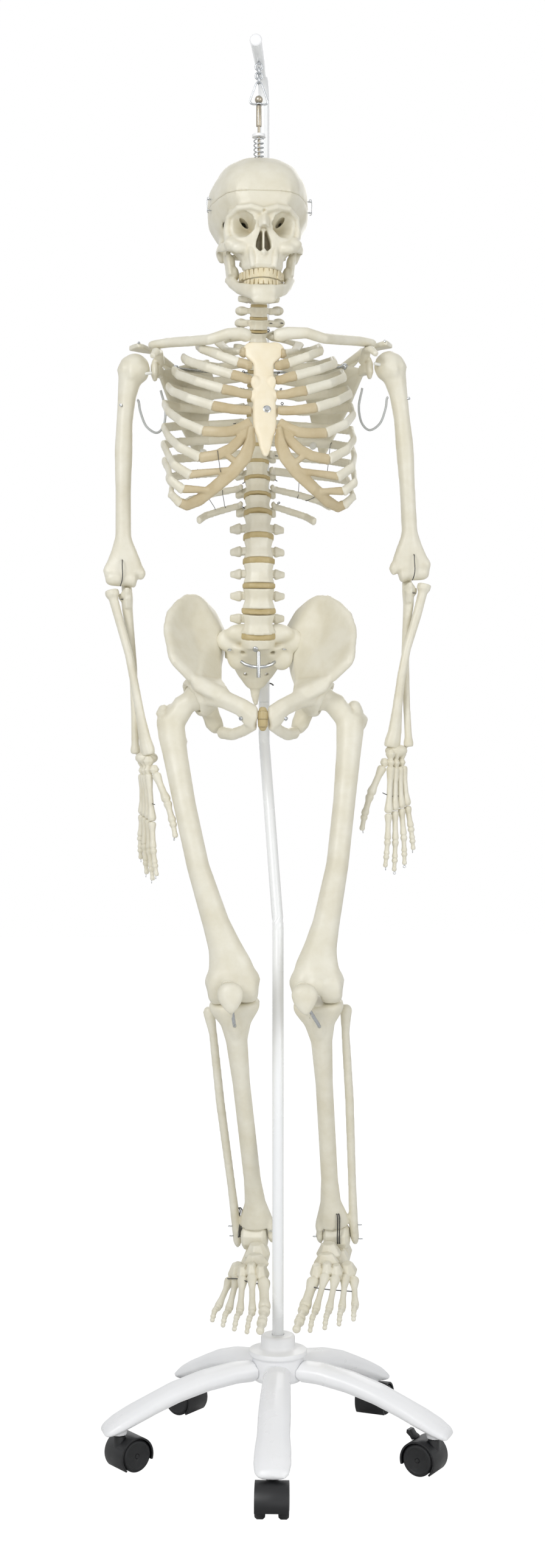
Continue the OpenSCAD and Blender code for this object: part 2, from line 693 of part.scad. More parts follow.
upper_w = 28.5;
upper_d = 44;
upper_front = face + 5;

module upper_teeth() {
    color("#E2D6B5") hung() translate([0, 0, neck_z])
        tooth_row(upper_w, upper_d, upper_front, bite + 12.6, bite + 0.5, 1);
}

module lower_teeth() {
    color("#E2D6B5") hung() translate([0, 0, neck_z])
        tooth_row(upper_w - 1.6, upper_d - 1, upper_front + 2, bite - 9.6, bite - 0.5, 0.9);
}

jaw_pivot = [0, -12, -1];

module mandible_half() {
    bone([[0, face + 5, bite - 22, 12.4, 6.5], [13, face + 7, bite - 21, 12, 6],
        [24.5, face + 21, bite - 20, 11.4, 5.5], [33.5, face + 40, bite - 18, 11.4, 5],
        [41, face + 57, bite - 7, 13, 4.6], [jaw_x - 4, face + 67, bite + 8, 15, 4]],
        [0, 0, 1], 8);
    web([[jaw_x - 5, face + 49, bite + 10], [jaw_x - 4, face + 73, bite + 6],
        [jaw_x - 3, face + 52, bite + 40], [jaw_x - 1, face + 75, bite + 42]], 3.6);
    bone([[jaw_x - 1, face + 74, bite + 36, 6, 4.5], [jaw_x - 1, -14, -13, 5, 5],
        [jaw_x - 1, -13, -7, 5, 6]], [0, 1, 0], 6);
    translate([jaw_x - 1, jaw_pivot[1], jaw_pivot[2] - 1]) rotate([0, 90, 0]) hull()
        cylinder(h = 17, r = 6, center = true, $fn = 8);
    web([[jaw_x - 1, face + 53, bite + 37], [jaw_x - 0.6, face + 52, bite + 45]], 2.6);
}

module mandible() {
    color("#E6E2D3") hung() translate([0, 0, neck_z]) {
        for (s = [-1, 1]) side(s) mandible_half();
        knob([0, face + 2, bite - 30], [17, 6, 10], 6);
        for (s = [-1, 1]) knob([s * 11, face + 3, bite - 32], [9, 5.4, 7], 6);
    }
}

// Spine
function around(i) = i < 16 ? 8 : 10;

module vertebra(i) {
    w = body_w(i) / 2;
    d = body_d(i) / 2;
    h = pitch(i) * (1 - disc_share) / 2 - seat / 2;
    neck = i < 6;
    loin = i >= 18;
    reach = neck ? 27 + i * 0.7 : loin ? 41 : 34 - abs(i - 8) * 0.6;
    tail = neck ? 30 + i * 3 : loin ? 52 : 45 + min(i - 6, 4);
    sag = neck ? 3.6 : loin ? 6 : lookup(i, [[6, 18], [10, 24], [14, 22], [17, 8]]);
    canal = neck ? 11 : 9.5;
    arm = neck ? 2 : loin ? d + 8 : d + 16;
    edge = [[0, d * 0.1], [w * 0.35, d * 0.1], neck ? [w * 0.85, -3] : [canal + 3.5, d * 0.7],
        [reach - 2, arm - 4], [reach + 1.5, arm + 0.5], [reach - 2, arm + 4.5],
        [canal + 6, max(d + canal * 0.55, arm - 2)], [canal + 2, d + canal * 1.4],
        [2.5, d + canal * 2 + 1], [0, d + canal * 2 + 1]];
    tip = loin ? 9 : neck ? 3 : 3.6;
    translate([0, mid_y(i), mid_z(i)]) rotate([spine_tilt(i), 0, 0]) {
        skin([ring([0, 0, -h], [1, 0, 0], [0, 1, 0], w, d, around(i)),
            ring([0, 0, 0], [1, 0, 0], [0, 1, 0], w * 0.86, d * 0.86, around(i)),
            ring([0, 0, h], [1, 0, 0], [0, 1, 0], w * 0.97, d * 0.97, around(i))]);
        // arch with its side arms, seen from above
        translate([0, 0, h * 0.2]) linear_extrude(h * (loin ? 0.9 : 1.1), center = true)
            difference() {
            union() for (s = [-1, 1]) side(s) polygon(edge);
            translate([0, d + canal * 0.75]) circle(canal, $fn = 8);
        }
        // tail, seen from the side
        rotate([90, 0, 90]) linear_extrude(loin ? 6 : 4.6, center = true)
            polygon([[d + canal * 1.6, h * 0.75], [d + tail - 9, tip - sag], [d + tail - 6, -sag],
                [d + tail - 9, -sag - tip], [d + canal * 1.6, -h * 0.4]]);
    }
}

module disc(i) {
    w = body_w(i) / 2;
    d = body_d(i) / 2;
    turn = abs(spine_tilt(i) - spine_tilt(i - 1));
    t = (pitch(i) + pitch(i - 1)) / 2 * disc_share - 2 * seat - d * tan(turn);
    translate([0, spine_y(i), level(i)]) rotate([(spine_tilt(i - 1) + spine_tilt(i)) / 2, 0, 0])
        disc_plate(w, d, t, around(i));
}

module disc_plate(w, d, t, n) {
    linear_extrude(t, center = true) polygon([for (q = ring([0, 0, 0], [1, 0, 0], [0, 1, 0], w, d, n))
        [q[0], q[1]]]);
}

module atlas() {
    outer = [[0, -20], [9, -18], [18, -12], [24, -5], [36, -3], [40, 2], [36, 7], [25, 8], [20, 22],
        [11, 33], [0, 37]];
    inner = [[0, -11], [7, -9], [8, 0], [12, 6], [13, 17], [8, 26], [0, 29]];
    color("#E6E2D3") hung() translate([0, 4, neck_z - 12.5]) {
        linear_extrude(7, center = true) difference() {
            for (s = [-1, 1]) side(s) polygon(outer);
            for (s = [-1, 1]) side(s) polygon(inner);
        }
        for (s = [-1, 1]) side(s) knob([15, -3, 0], [7, 10, 4.8], 6);
    }
}

module cervical_vertebrae() {
    color("#E6E2D3") hung() for (i = [0:5]) vertebra(i);
}

module thoracic_vertebrae() {
    color("#E6E2D3") hung() for (i = [6:17]) vertebra(i);
}

module lumbar_vertebrae() {
    color("#E6E2D3") hung() for (i = [18:22]) vertebra(i);
}

module upper_discs() {
    color("#B89A5E") hung() for (i = [1:17]) disc(i);
}

// Chest: index k runs over the twelve pairs of ribs
function rib_z(k) = mid_z(k + 5) + 3;
function rib_y(k) = mid_y(k + 5) + body_d(k + 5) / 2;
function rib_half(k) = chest_w / 2 * lookup(k, [[1, 0.42], [2, 0.64], [3, 0.79], [4, 0.89],
    [5, 0.95], [6, 0.99], [8, 1], [9, 0.99], [10, 0.95], [11, 0.8], [12, 0.62]]);
function rib_end(k) = [chest_w / 2 * lookup(k, [[1, 0.21], [2, 0.26], [3, 0.33], [4, 0.43],
        [5, 0.53], [6, 0.63], [7, 0.66], [8, 0.755], [9, 0.82], [10, 0.84]]),
    -chest_front * lookup(k, [[1, 0.58], [2, 0.72], [3, 0.83], [4, 0.9], [5, 0.95], [6, 0.96],
        [7, 0.94], [8, 0.86], [9, 0.75], [10, 0.6]]),
    chest_top - lookup(k, [[1, 47], [2, 65], [3, 85], [4, 107], [5, 132], [6, 168], [7, 205],
        [8, 229], [9, 248], [10, 265], [11, 252], [12, 275]])];
function rib_path(k) = let (h = rib_half(k), z = rib_z(k), f = z - rib_end(k)[2], y = rib_y(k),
        b = min(y + 34, 84), low = lookup(k, [[2, 0], [4, -0.06], [6, 0.06], [7, 0.2], [10, 0.27]]),
        side_at = [h * 0.97, -chest_front * 0.42, z - f * mix(low, 1, 0.38)])
    k > 10 ? [[body_w(k + 5) / 2 + 3, y - 6, z], [26, y + 8, z - 1], [h * 0.6, y + 26, z - f * 0.25],
        [h * 0.87, y + 20, z - f * 0.6], [h, y + 2, z - f]]
    : k == 1 ? [[body_w(6) / 2 + 3, y - 4, z], [24, y + 8, z], [h * 0.75, y + 14, z - 2],
        [h, -4, z - f * 0.4], [h * 0.85, -36, z - f * 0.8], rib_end(1)]
    : [[body_w(k + 5) / 2 + 3, y - 6, z], [26, y + 8, z + 1], [h * 0.5, b, z + 1],
        [h * 0.84, mix(y, 0, 0.3) + 22, z - f * (low * 0.5 - 0.03)],
        [h, mix(y, 0, 0.6) - 4, z - f * low], side_at,
        mix(side_at, rib_end(k), 0.56) + [h * 0.07, -8, 0], rib_end(k)];

module rib(k) {
    p = curve(rib_path(k), k > 10 ? 4 : k < 2 ? 5 : 7);
    m = len(p) - 1;
    t = k == 1 ? [3.6, 7] : k > 10 ? [5, 3] : [6.4, 3.2];
    skin(rings_along(p, [for (i = [0:m]) t * (i == 0 ? 0.8 : i == 1 ? 0.9 : i == m ? 1.1 : 1)],
        [0, 0, 1], 6));
}

module ribs() {
    color("#E6E2D3") hung() for (s = [-1, 1]) side(s) for (k = [1:12]) rib(k);
}

// Breastbone
sternum_y = -chest_front * 0.66;
sternum_top = chest_top - 36;
function sternum_at(t) = [0, mix(sternum_y, -chest_front * 1.08, t), mix(sternum_top, sternum_top
    - 168, t)];
function sternum_half(t) = lookup(t, [[0, 21], [0.06, 27], [0.12, 26], [0.19, 14.5], [0.3, 14],
    [0.6, 16.5], [0.76, 17], [0.84, 11], [0.92, 8.6], [1, 3]]);

module sternum() {
    color("#F5EAD0") hung() {
        skin([for (t = [1, 0.93, 0.84, 0.78, 0.7, 0.55, 0.4, 0.26, 0.19, 0.12, 0.06, 0])
            ring(sternum_at(t), [1, 0, 0], [0, 1, 0], sternum_half(t), t > 0.85 ? 3 : 5.5, 10,
                0.8)]);
    }
}

// Cartilage from each rib end to the breastbone
function notch_t(k) = lookup(k, [[1, 0.09], [2, 0.2], [3, 0.33], [4, 0.46], [5, 0.6], [6, 0.71],
    [7, 0.78]]);
function notch(k) = sternum_at(notch_t(k)) + [sternum_half(notch_t(k)) + 3.6, 0, 0];

function rib_tip(k) = rib_end(k) + unit(rib_end(k) - rib_path(k)[len(rib_path(k)) - 2]) * 0.6;

module costal_cartilage() {
    low = chest_top - 268;
    color("#C9B08A") hung() for (s = [-1, 1]) side(s) {
        for (k = [1:7]) {
            e = rib_tip(k);
            n = notch(k);
            way = unit(rib_end(k) - rib_path(k)[len(rib_path(k)) - 2]);
            p = curve([e, mix(e, n, 0.3) + way * (k < 5 ? 5 : k < 6 ? 9 : 14) + [0, -2, 0],
                mix(e, n, 0.7) + [0, -4, k < 6 ? -2 : -7], n], k < 5 ? 3 : 4);
            m = len(p) - 1;
            skin(rings_along(p, [for (i = [0:m]) [mix(7.4, k < 6 ? 6 : 7.6, i / m), 3.6]], [0, 0, 1], 6));
        }
        margin = [rib_tip(10) + [2, 4, 2], [chest_w * 0.37, rib_end(10)[1] - 8, low],
            [chest_w * 0.27, rib_end(8)[1] - 5, low + 18], [chest_w * 0.15, -chest_front * 1.03, low + 46],
            [chest_w * 0.08, -chest_front * 1.05, low + 76], notch(7) + [1, -1, 4]];
        p = curve(margin, 7);
        skin(rings_along(p, [for (i = [0:7]) [lookup(i, [[0, 6], [2, 9], [5, 10], [7, 7]]), 3.6]],
            [0, 0, 1], 6));
        for (k = [8:10]) web([rib_tip(k) + [-1, 1, 0], rib_tip(k) + [-1, 1, 4],
            mix(rib_tip(k), curve_at(margin, 11 - k), 0.9)], 3.2);
        web([mix(rib_end(7), notch(7), 0.4) + [0, -5, -6], curve_at(margin, 3.2)], 3.2);
    }
}

// Shoulder girdle, which hangs a little to one side
module girdle() {
    hung() translate([0, 0, shoulder_z]) rotate([0, -girdle_roll, 0])
        translate([girdle_x, 0, -shoulder_z]) children();
}

shoulder = [shoulder_half, shoulder_y, shoulder_z];
acromion = shoulder + [-4, 8, shoulder_r + 10.5];

module scapula() {
    top = [76, 90, shoulder_z + 26];
    root = [68, 96, shoulder_z - 8];
    tip = [92, 93, shoulder_z - 122];
    belly = [114, 83, shoulder_z - 14];
    border = [131, 72, shoulder_z - 50];
    neck = shoulder + [-37, 17, -2];
    crest = [118, 96, shoulder_z + 10];
    web([top, root, belly], 2.4);
    web([root, tip, belly], 2.4);
    web([belly, tip, border], 2.4);
    web([belly, neck, top], 2.6);
    web([belly, neck, border], 3);
    web([neck, border], 3);
    web([border, tip], 3);
    web([root, crest, belly], 2.2);
    web([crest, [152, 66, shoulder_z + 25], belly], 2.4);
    web([crest, [154, 60, acromion[2]], [162, 40, acromion[2]]], 3.2);
    web([[154, 60, acromion[2]], acromion + [8, 2, 0], acromion + [-2, -22, -1],
        acromion + [-12, 6, 0]], 3.8);
    knob(shoulder + [-shoulder_r - joint_gap - 6, 3, -1], [6, 11, 17]);
    web([neck, shoulder + [-shoulder_r - joint_gap - 7, 4, -1]], 8);
    bone([[neck[0], neck[1] - 6, shoulder_z + 10, 8, 7], [neck[0] + 2, 6, shoulder_z + 22, 7, 6],
        [neck[0] + 6, -12, shoulder_z + 20, 6, 5], [neck[0] + 12, -24, shoulder_z + 10, 4, 4]],
        [1, 0, 0], 8);
}

module scapulae() {
    color("#E6E2D3") girdle() for (s = [-1, 1]) side(s) scapula();
}

module clavicles() {
    color("#E6E2D3") girdle() for (s = [-1, 1]) side(s)
        bone([[18 - s * girdle_x, sternum_y - 1, sternum_top + 11, 6, 6],
            [23 - s * girdle_x, sternum_y - 2, sternum_top + 11, 8.6, 8],
            [34 - s * girdle_x * 0.6, sternum_y - 5, sternum_top + 13, 8, 7.6],
            [56, sternum_y - 6, sternum_top + 13, 6.6, 6.4],
            [82, sternum_y + 4, shoulder_z + 24, 6.2, 6.2], [112, -34, shoulder_z + 29, 6, 6.6],
            [138, -8, shoulder_z + 33, 5.6, 8], [160, 7, shoulder_z + 33, 4.6, 8],
            [165, 9, shoulder_z + 33, 3, 5]], [0, 0, 1], 8);
}

nut_d = 10;
tie_d = 4;
tie_z = shoulder_z + 8;

module scapula_rod() {
    color("#C9CBCC") girdle() {
        wire([[-124, 53, tie_z], [-100, 69, tie_z], [-62, 87, tie_z], [-20, 91.5, tie_z],
            [20, 91.5, tie_z], [62, 87, tie_z], [100, 69, tie_z], [124, 53, tie_z]], tie_d, 8);
        for (s = [-1, 1]) translate([s * 126, 51.6, tie_z]) sphere(d = nut_d);
    }
}

// Elastic cords that hang in a loop from each shoulder blade to the upper arm
cord_points = curve([shoulder + [-38, 22, -27], shoulder + [-39, 22, -31], shoulder + [-44, 22, -55],
    shoulder + [-41, 17, -79], shoulder + [-30, 12, -91], shoulder + [-15, 8, -82],
    shoulder + [-7, 4, -62], shoulder + [-4.6, 2, -47], shoulder + [-2.4, 1.4, -44.6]], 22);

module shoulder_cord_right() {
    color("#A9AAA6") girdle() side(-1) wire(cord_points, cord_d, 8);
}

module shoulder_cord_left() {
    color("#A9AAA6") girdle() side(1) wire(cord_points, cord_d, 8);
}

// Arms, each in the frame of its own joint, lateral at +X
carry = 0.8;
trochlea_r = 11;
notch_r = trochlea_r + joint_gap;
radius_head = [15, -3, -trochlea_r - joint_gap - 12];
ulna_head = [-9, 7, -forearm + 12];

module upper_arm_place(s) {
    girdle() side(s) translate(shoulder) rotate([0, -arm_slope, 0]) children();
}

module elbow_place(s) {
    upper_arm_place(s) translate([0, 0, -upper_arm]) rotate([0, arm_slope + carry, 0]) children();
}

// Turns children from palm forward about the line through the two ends of the radius
module turned(angle) {
    v = ulna_head - radius_head;
    translate(radius_head) rotate(a = angle, v = v) translate(-radius_head) children();
}

module humerus() {
    r = shoulder_r;
    t = -upper_arm;
    knob([0, 0, 0], [r, r, r], 10);
    knob([12, -3, -3], [14, 16, 19], 6);
    knob([4, -16, -8], [8, 8, 12], 6);
    bone([[4, 0, -6, 19, 19], [7, 0, -22, 16, 17], [9, 0, -42, 13, 13], [10, 0, -80, 11.5, 12],
        [9, -2, -120, 13, 11.5], [6, -2, -180, 11, 11], [2, -1, t + 62, 11.4, 10.5],
        [-1, -1, t + 22, 24, 7.5], [-1, -1, t + 8, 24, 7]], [1, 0, 0], 8);
    bone([[-20, 0, t, 9, 9], [-18, 0, t, 12.2, 12.2], [-8, 0, t, 9.4, 9.4], [4, 0, t, 11, 11],
        [16, 0, t, 11, 11], [23, 0, t, 8, 8]], [0, 0, 1], 8);
    knob([-27, 3, t + 10], [8, 7, 10], 6);
    knob([23, 1, t + 11], [6, 6, 10], 6);
    web([[-26, 2, t + 14], [-12, 0, t + 44]], 5);
    web([[22, 1, t + 14], [10, 0, t + 48]], 4.6);
    knob([2, 0, t + 30], [12, 7, 14], 6);
}

module ulna() {
    r = notch_r;
    web([[-10, r + 7, 8], [-1, r + 7, 8], [-6, r + 6.8, -6], [-6, r + 5, 13]], 6);
    web([[-6, r + 8.4, -6], [-6, 8, -r - 13], [-8, 12, -r - 16]], 8.4);
    web([[-11, -5, -r - 12], [0, -5, -r - 12], [-6, -r - 1, -r - 6]], 4);
    web([[-6, 8, -r - 14], [-6, -8, -r - 12], [-6, 0, -r - 26]], 7);
    web([[3.6, 4, -r - 13], [-4, 4, -r - 22]], 4.3);
    bone([[-6, 8, -r - 12, 9, 11], [-6, 8, -r - 34, 8, 9.6], [-8, 11, -70, 6.6, 7.6],
        [-11, 16, -130, 6, 6.8], [-10, 12, -200, 5.2, 5.6],
        [ulna_head[0], ulna_head[1], -forearm + 22, 5.6, 5.6],
        [ulna_head[0], ulna_head[1], -forearm + 14, 7.6, 7.6],
        [ulna_head[0], ulna_head[1], -forearm + 8, 7, 7]], [1, 0, 0], 8);
    web([[-12, 11, -forearm + 14], [-13, 12, -forearm + 4]], 2.6);
}

// The radius with the palm forward
module radius_bone() {
    h = radius_head;
    bone([[h[0], h[1], h[2] + 8, 9.4, 9.4], [h[0], h[1], h[2] + 7, 10.6, 10.6],
        [h[0], h[1], h[2], 10.4, 10.4], [h[0], h[1], h[2] - 5, 7, 7],
        [h[0] + 1, h[1] - 1, h[2] - 38, 7, 6.4], [h[0] + 7, h[1] - 1, -115, 6.4, 6],
        [h[0] + 8, h[1] + 1, -155, 6.6, 6], [h[0] + 4, h[1] + 2, -205, 8, 6.6],
        [h[0] - 1, h[1] + 1, -forearm + 26, 11, 8.4], [h[0] - 1, h[1] + 1, -forearm + 10, 13.2, 10.5],
        [h[0] - 1, h[1] + 1, -forearm + 1.5, 12.4, 9.5]], [1, 0, 0], 8);
    web([[h[0] + 7, h[1] + 1, -forearm + 14], [h[0] + 9, h[1] + 1, -forearm + 4]], 3.4);
}

// The hand with the palm forward, wrist at the origin
wrist = [radius_head[0] - 7, radius_head[1] + 3, -forearm];

module carpals() {
    for (q = [[9, 0, -7, 7, 7, 7], [-1, 0, -7.5, 6, 7, 7], [-11.5, 1, -8, 5.6, 6.4, 6],
        [-13.5, -9, -10, 4, 4, 4.4], [17, -5, -19.2, 6, 6, 6], [9.6, 0, -19.4, 5, 6.4, 6.4],
        [0.4, 0, -20.4, 6.2, 7, 7], [-10.6, 0, -19.8, 5.4, 6.6, 6.2]])
        pebble([q[0], q[1], q[2]], [q[3] * 0.84, q[4] * 1.1, q[5]], 7);
}

function knuckle(k) = let (x = [13, 3, -7, -16][k]) [x * 1.18, 0, -86 - 0.35 * (x - 3)];
function finger_way(k) = unit([[0.1, 0.03, -1], [0.03, 0.02, -1], [-0.05, 0.03, -1],
    [-0.14, 0.05, -1]][k]);
finger_bones = [[39, 22, 17], [43, 27, 18], [40, 25, 18], [32, 18, 15]];

module hand() {
    carpals();
    for (k = [0:3]) {
        base = [[10, 1, -26], [1.4, 1, -27.4], [-6.6, 1, -26.4], [-13.4, 1, -26]][k];
        way = unit(knuckle(k) - base);
        rod_bone(base, knuckle(k) + way * 4, 5.4, 3.4, 5.6);
    }
    rod_bone([19.4, -6.4, -25.4], [37, -15, -66], 6, 4.2, 6);
    rod_bone([37.2, -15.2, -66.5], [46, -19, -96], 5.4, 3.6, 5);
    rod_bone([46.1, -19.1, -96.5], [50, -21, -118], 4.6, 2.8, 3.4);
}

module fingers() {
    for (k = [0:3]) {
        w = finger_way(k);
        a = knuckle(k) + w * 6.2;
        b = a + w * finger_bones[k][0];
        c = b + (w + [0, -0.08, 0]) * finger_bones[k][1];
        d = c + (w + [0, -0.12, 0]) * finger_bones[k][2];
        rod_bone(a, b - w * 0.5, 5.2, 3.4, 4.4);
        rod_bone(b, c - w * 0.5, 4.6, 2.9, 3.8);
        rod_bone(c, d, 4, 2.4, 3);
    }
}

// The hand hangs straight down from the turned forearm
function spin(p, v, a) = p * cos(a) + cross(v, p) * sin(a) + v * (v * p) * (1 - cos(a));
function hand_down(angle) = spin([sin(carry), 0, -cos(carry)], unit(ulna_head - radius_head), -angle);

module hand_place(s) {
    angle = s < 0 ? turn_right : turn_left;
    d = hand_down(angle);
    elbow_place(s) turned(angle) translate(wrist) rotate([asin(d[1]), atan2(-d[0], -d[2]), 0])
        children();
}

module arm_node(s, what) {
    color("#E6E2D3") {
        if (what == "humerus") upper_arm_place(s) humerus();
        if (what == "ulna") elbow_place(s) ulna();
        if (what == "radius") elbow_place(s) turned(s < 0 ? turn_right : turn_left) radius_bone();
        if (what == "hand") hand_place(s) hand();
        if (what == "fingers") hand_place(s) fingers();
    }
}

// Pelvis
hip = [hip_half, hip_y, hip_z];
crest_x = crest_w / 2 - 6;

module hip_bone() {
    z = base_z;
    front = [crest_x - 4, -58, z - 42];
    crest_front = [crest_x + 6, -28, z + 6];
    crest_out = [crest_x - 12, 4, z + 46];
    crest_mid = [crest_x - 42, 34, z + 57];
    crest_rear = [crest_x - 64, 64, z + 40];
    rear = [47, 86, z + 4];
    rear_low = [54, 82, z - 32];
    joint_top = [56, 40, z + 6];
    joint_low = [57, 62, z - 44];
    hollow = [crest_x - 30, 16, z + 6];
    hollow_low = [crest_x - 44, 2, z - 34];
    dip = [crest_x - 24, -46, z - 60];
    front_low = hip + [9, -40, 16];
    brim_rear = [61, 32, z - 40];
    brim = hip + [-25, 8, 14];
    spine_tip = hip + [-24, 50, -4];
    difference() {
        union() {
            web([front, crest_front, hollow, hollow_low], 4);
            web([crest_front, crest_out, hollow], 3.4);
            web([crest_out, crest_mid, hollow], 3.4);
            web([crest_mid, crest_rear, hollow, joint_top], 4);
            web([crest_rear, rear, joint_top], 5);
            web([joint_top, rear, rear_low, joint_low], 5);
            web([joint_top, hollow, hollow_low, brim_rear], 4.6);
            web([front, dip, front_low, hollow_low], 4.6);
            web([hollow_low, brim_rear, brim, front_low], 7);
            web([joint_low, joint_top, brim_rear], 5.5);
            web([joint_low, brim_rear, brim, hip + [-14, 30, -4]], 6);
            web([hip + [-14, 28, -8], spine_tip], 4.6);
            bone([concat(front + [0, -1, -3], [4, 4]), concat(front + [3, 4, 8], [8, 6.5]),
                concat(crest_front, [6.5, 6]), concat(mix(crest_front, crest_out, 0.5) + [4, 0, 4],
                [6, 6]), concat(crest_out, [6, 6]), concat(mix(crest_out, crest_mid, 0.5) + [2, 3, 5],
                [6, 6]), concat(crest_mid, [6, 6]), concat(mix(crest_mid, crest_rear, 0.5) + [2, 3, 3],
                [6, 5.5]), concat(crest_rear, [6, 6]), concat(mix(crest_rear, rear, 0.6), [7, 6]),
                concat(rear, [6, 6])], [0.3, 0.3, 0.9], 6);
            translate(hip) hull() sphere(hip_r + joint_gap + 8.6, $fn = 8);
            web([front_low, brim, hip + [-32, -42, -4]], 9);
            bone([concat(hip + [-10, 16, -8], [14, 16]), concat(hip + [-16, 28, -24], [13, 14]),
                concat(hip + [-22, 30, -40], [13, 15]), concat(hip + [-28, 24, -50], [9, 9])],
                [1, 0, 0], 6);
            bone([concat(hip + [-12, -20, 0], [16, 15]), concat(hip + [-32, -44, -8], [13, 11]),
                concat(hip + [-56, -62, -20], [13, 9]), concat(hip + [-70, -68, -33], [17, 9]),
                concat(hip + [-77, -69, -36], [16, 9])], [0, 0, 1], 6);
            bone([concat(hip + [-73, -66, -44], [9, 7]), concat(hip + [-60, -48, -53], [8, 5.6]),
                concat(hip + [-46, -20, -58], [8.6, 6]), concat(hip + [-32, 12, -54], [9, 8])],
                [0, 0, 1], 6);
        }
        translate(hip) sphere(hip_r + joint_gap + 2, $fn = 10);
        translate(hip) rotate([0, 0, -13]) rotate([0, 28, 0]) translate([63, 0, 0])
            cube([100, 90, 60], center = true);
        translate([-20 + 8.4, -100, 0]) cube([20, 200, hip_z + 20]);
    }
}

module hip_bones() {
    color("#E6E2D3") hung() for (s = [-1, 1]) side(s) hip_bone();
}

function sacrum_at(t) = [0, lookup(t, [[0, 17], [0.25, 32], [0.5, 50], [0.75, 64], [1, 68]]),
    base_z - lookup(t, [[0, 6], [0.25, 24], [0.5, 42], [0.75, 58], [1, 74]])];
function sacrum_half(t) = lookup(t, [[0, 36], [0.25, 43], [0.5, 37], [0.75, 27], [1, 13]]);

module sacrum() {
    color("#E6E2D3") hung() difference() {
        union() {
            bone([for (t = [0.1, 0.2, 0.32, 0.5, 0.7, 0.88, 1]) concat(sacrum_at(t),
                [sacrum_half(t), 15 - 8 * t])], [1, 0, 0], 10);
            hull() skin([ring([0, 20, base_z - 18], [1, 0, 0], [0, 1, 0.25], lumbar_w / 2 - 2, 16, 10),
                ring([0, 14.6, base_z - disc_share * lumbar_pitch / 2], [1, 0, 0],
                [0, 1, 0.25], lumbar_w / 2, 16.4, 10)]);
            for (k = [0:3]) knob(sacrum_at(0.1 + 0.22 * k) + [0, 12 - k, 10 - k], [4, 6, 9], 5);
            for (s = [-1, 1]) web([[s * 16, 43, base_z - 8], [s * 17, 41, base_z + 4]], 5);
            for (s = [-1, 1]) web([[s * 20, 27, base_z - 16], [s * 43, 46, base_z - 2],
                [s * 43, 52, base_z - 28]], 6);
            bone([concat(sacrum_at(0.97), [9, 5]), concat(sacrum_at(1) + [0, 1, -10], [7, 4.4]),
                concat(sacrum_at(1) + [0, -4, -18], [5, 4]),
                concat(sacrum_at(1) + [0, -11, -25], [3, 3])], [1, 0, 0], 8);
        }
        for (s = [-1, 1], k = [0:2]) translate(sacrum_at(0.18 + 0.24 * k) + [s * (22 - 3 * k), 0, 0])
            rotate([42 - 12 * k, 0, 0]) rotate([90, 0, 0]) cylinder(h = 60, r = 4.4 - 0.5 * k,
                center = true, $fn = 6);
    }
}

module lower_discs() {
    color("#B89A5E") hung() {
        for (i = [18:22]) disc(i);
        translate([0, spine_y(23), base_z]) rotate([spine_tilt(22), 0, 0])
            disc_plate(lumbar_w / 2, 17, 5.8, 10);
        translate(hip + [-hip_half, -69, -37]) pubic_disc();
    }
}

module pubic_disc() {
    skin([ring([0, 0, -15], [1, 0, 0], [0, 1, 0], 5.4, 6, 8), ring([0, -1, -6], [1, 0, 0], [0, 1, 0],
        7.2, 8.4, 8), ring([0, -1, 8], [1, 0, 0], [0, 1, 0], 7.4, 8.4, 8),
        ring([0, 0, 15], [1, 0, 0], [0, 1, 0], 5.8, 6, 8)]);
}

module pelvis_bracket() {
    color("#B9BCC0") hung() translate([0, 0, base_z]) {
        translate([0, 6.4, -62]) cylinder(h = 38, d = 6);
        wire([[-25, 13, -38], [-19, 9, -42.6], [-10, 7, -45.6], [0, 6.4, -46.4], [10, 7, -45.6],
            [19, 9, -42.6], [25, 13, -38]], 5, 8);
    }
}

// Legs, each in the frame of its own joint, lateral at +X
knee_in = 25;
condyle_r = 21;
talus_r = 19;
bend = thigh_lean + shin_lean;

module thigh_place(s) {
    hung() translate([s * hip_half, hip_y, hip_z]) rotate([-thigh_lean, -leg_lean, leg_yaw]) side(s)
        children();
}

module shin_place(s) {
    thigh_place(s) translate([-knee_in, 0, -thigh]) rotate([bend, 0, 0]) children();
}

module foot_place(s) {
    shin_place(s) translate([0, 0, -shin]) rotate([foot_pitch - shin_lean, 0, 0])
        rotate([0, 0, s * foot_yaw]) children();
}

module femur() {
    k = -knee_in;
    t = -thigh;
    c = knee_w / 2 - 20;
    knob([0, 0, 0], [hip_r, hip_r, hip_r], 10);
    bone([[4, 0, -1, 14, 13], [17, 0, -8, 13, 13.6], [34, 1, -22, 15, 20], [48, 2, -36, 16, 22]],
        [0, 1, 0], 8);
    knob([54, 8, -12], [13, 17, 20], 6);
    knob([53, 6, -36], [14, 18, 24], 6);
    knob([32, 18, -64], [9, 9, 13], 6);
    bone([[46, 3, -26, 16, 16], [45, 3, -52, 20, 18], [41, 1, -84, 17.4, 16.5],
        [30, -7, -160, 15.4, 15.4], [15, -10, -250, 15.4, 15.4], [k + 19, -5, t + 96, 19, 16],
        [k + 8, -3, t + 60, 24, 17], [k + 2, -1, t + 34, 32, 18],
        [k, -1, t + 16, knee_w / 2 - 4, 18]], [1, 0, 0], 8);
    for (s = [-1, 1]) hull() {
        translate([k + s * c, 2, t]) rotate([0, 90, 0]) cylinder(h = 28, r = condyle_r - 3,
            center = true, $fn = 8);
        translate([k + s * c, 2, t]) rotate([0, 90, 0]) cylinder(h = 20, r = condyle_r - 0.3,
            center = true, $fn = 8);
        translate([k + s * c, -6, t + 20]) sphere(13, $fn = 6);
    }
    knob([k, -15, t + 8], [26, 12, 17], 6);
    for (s = [-1, 1]) knob([k + s * (knee_w / 2 - 8), 2, t + 12], [8, 13, 14], 6);
}

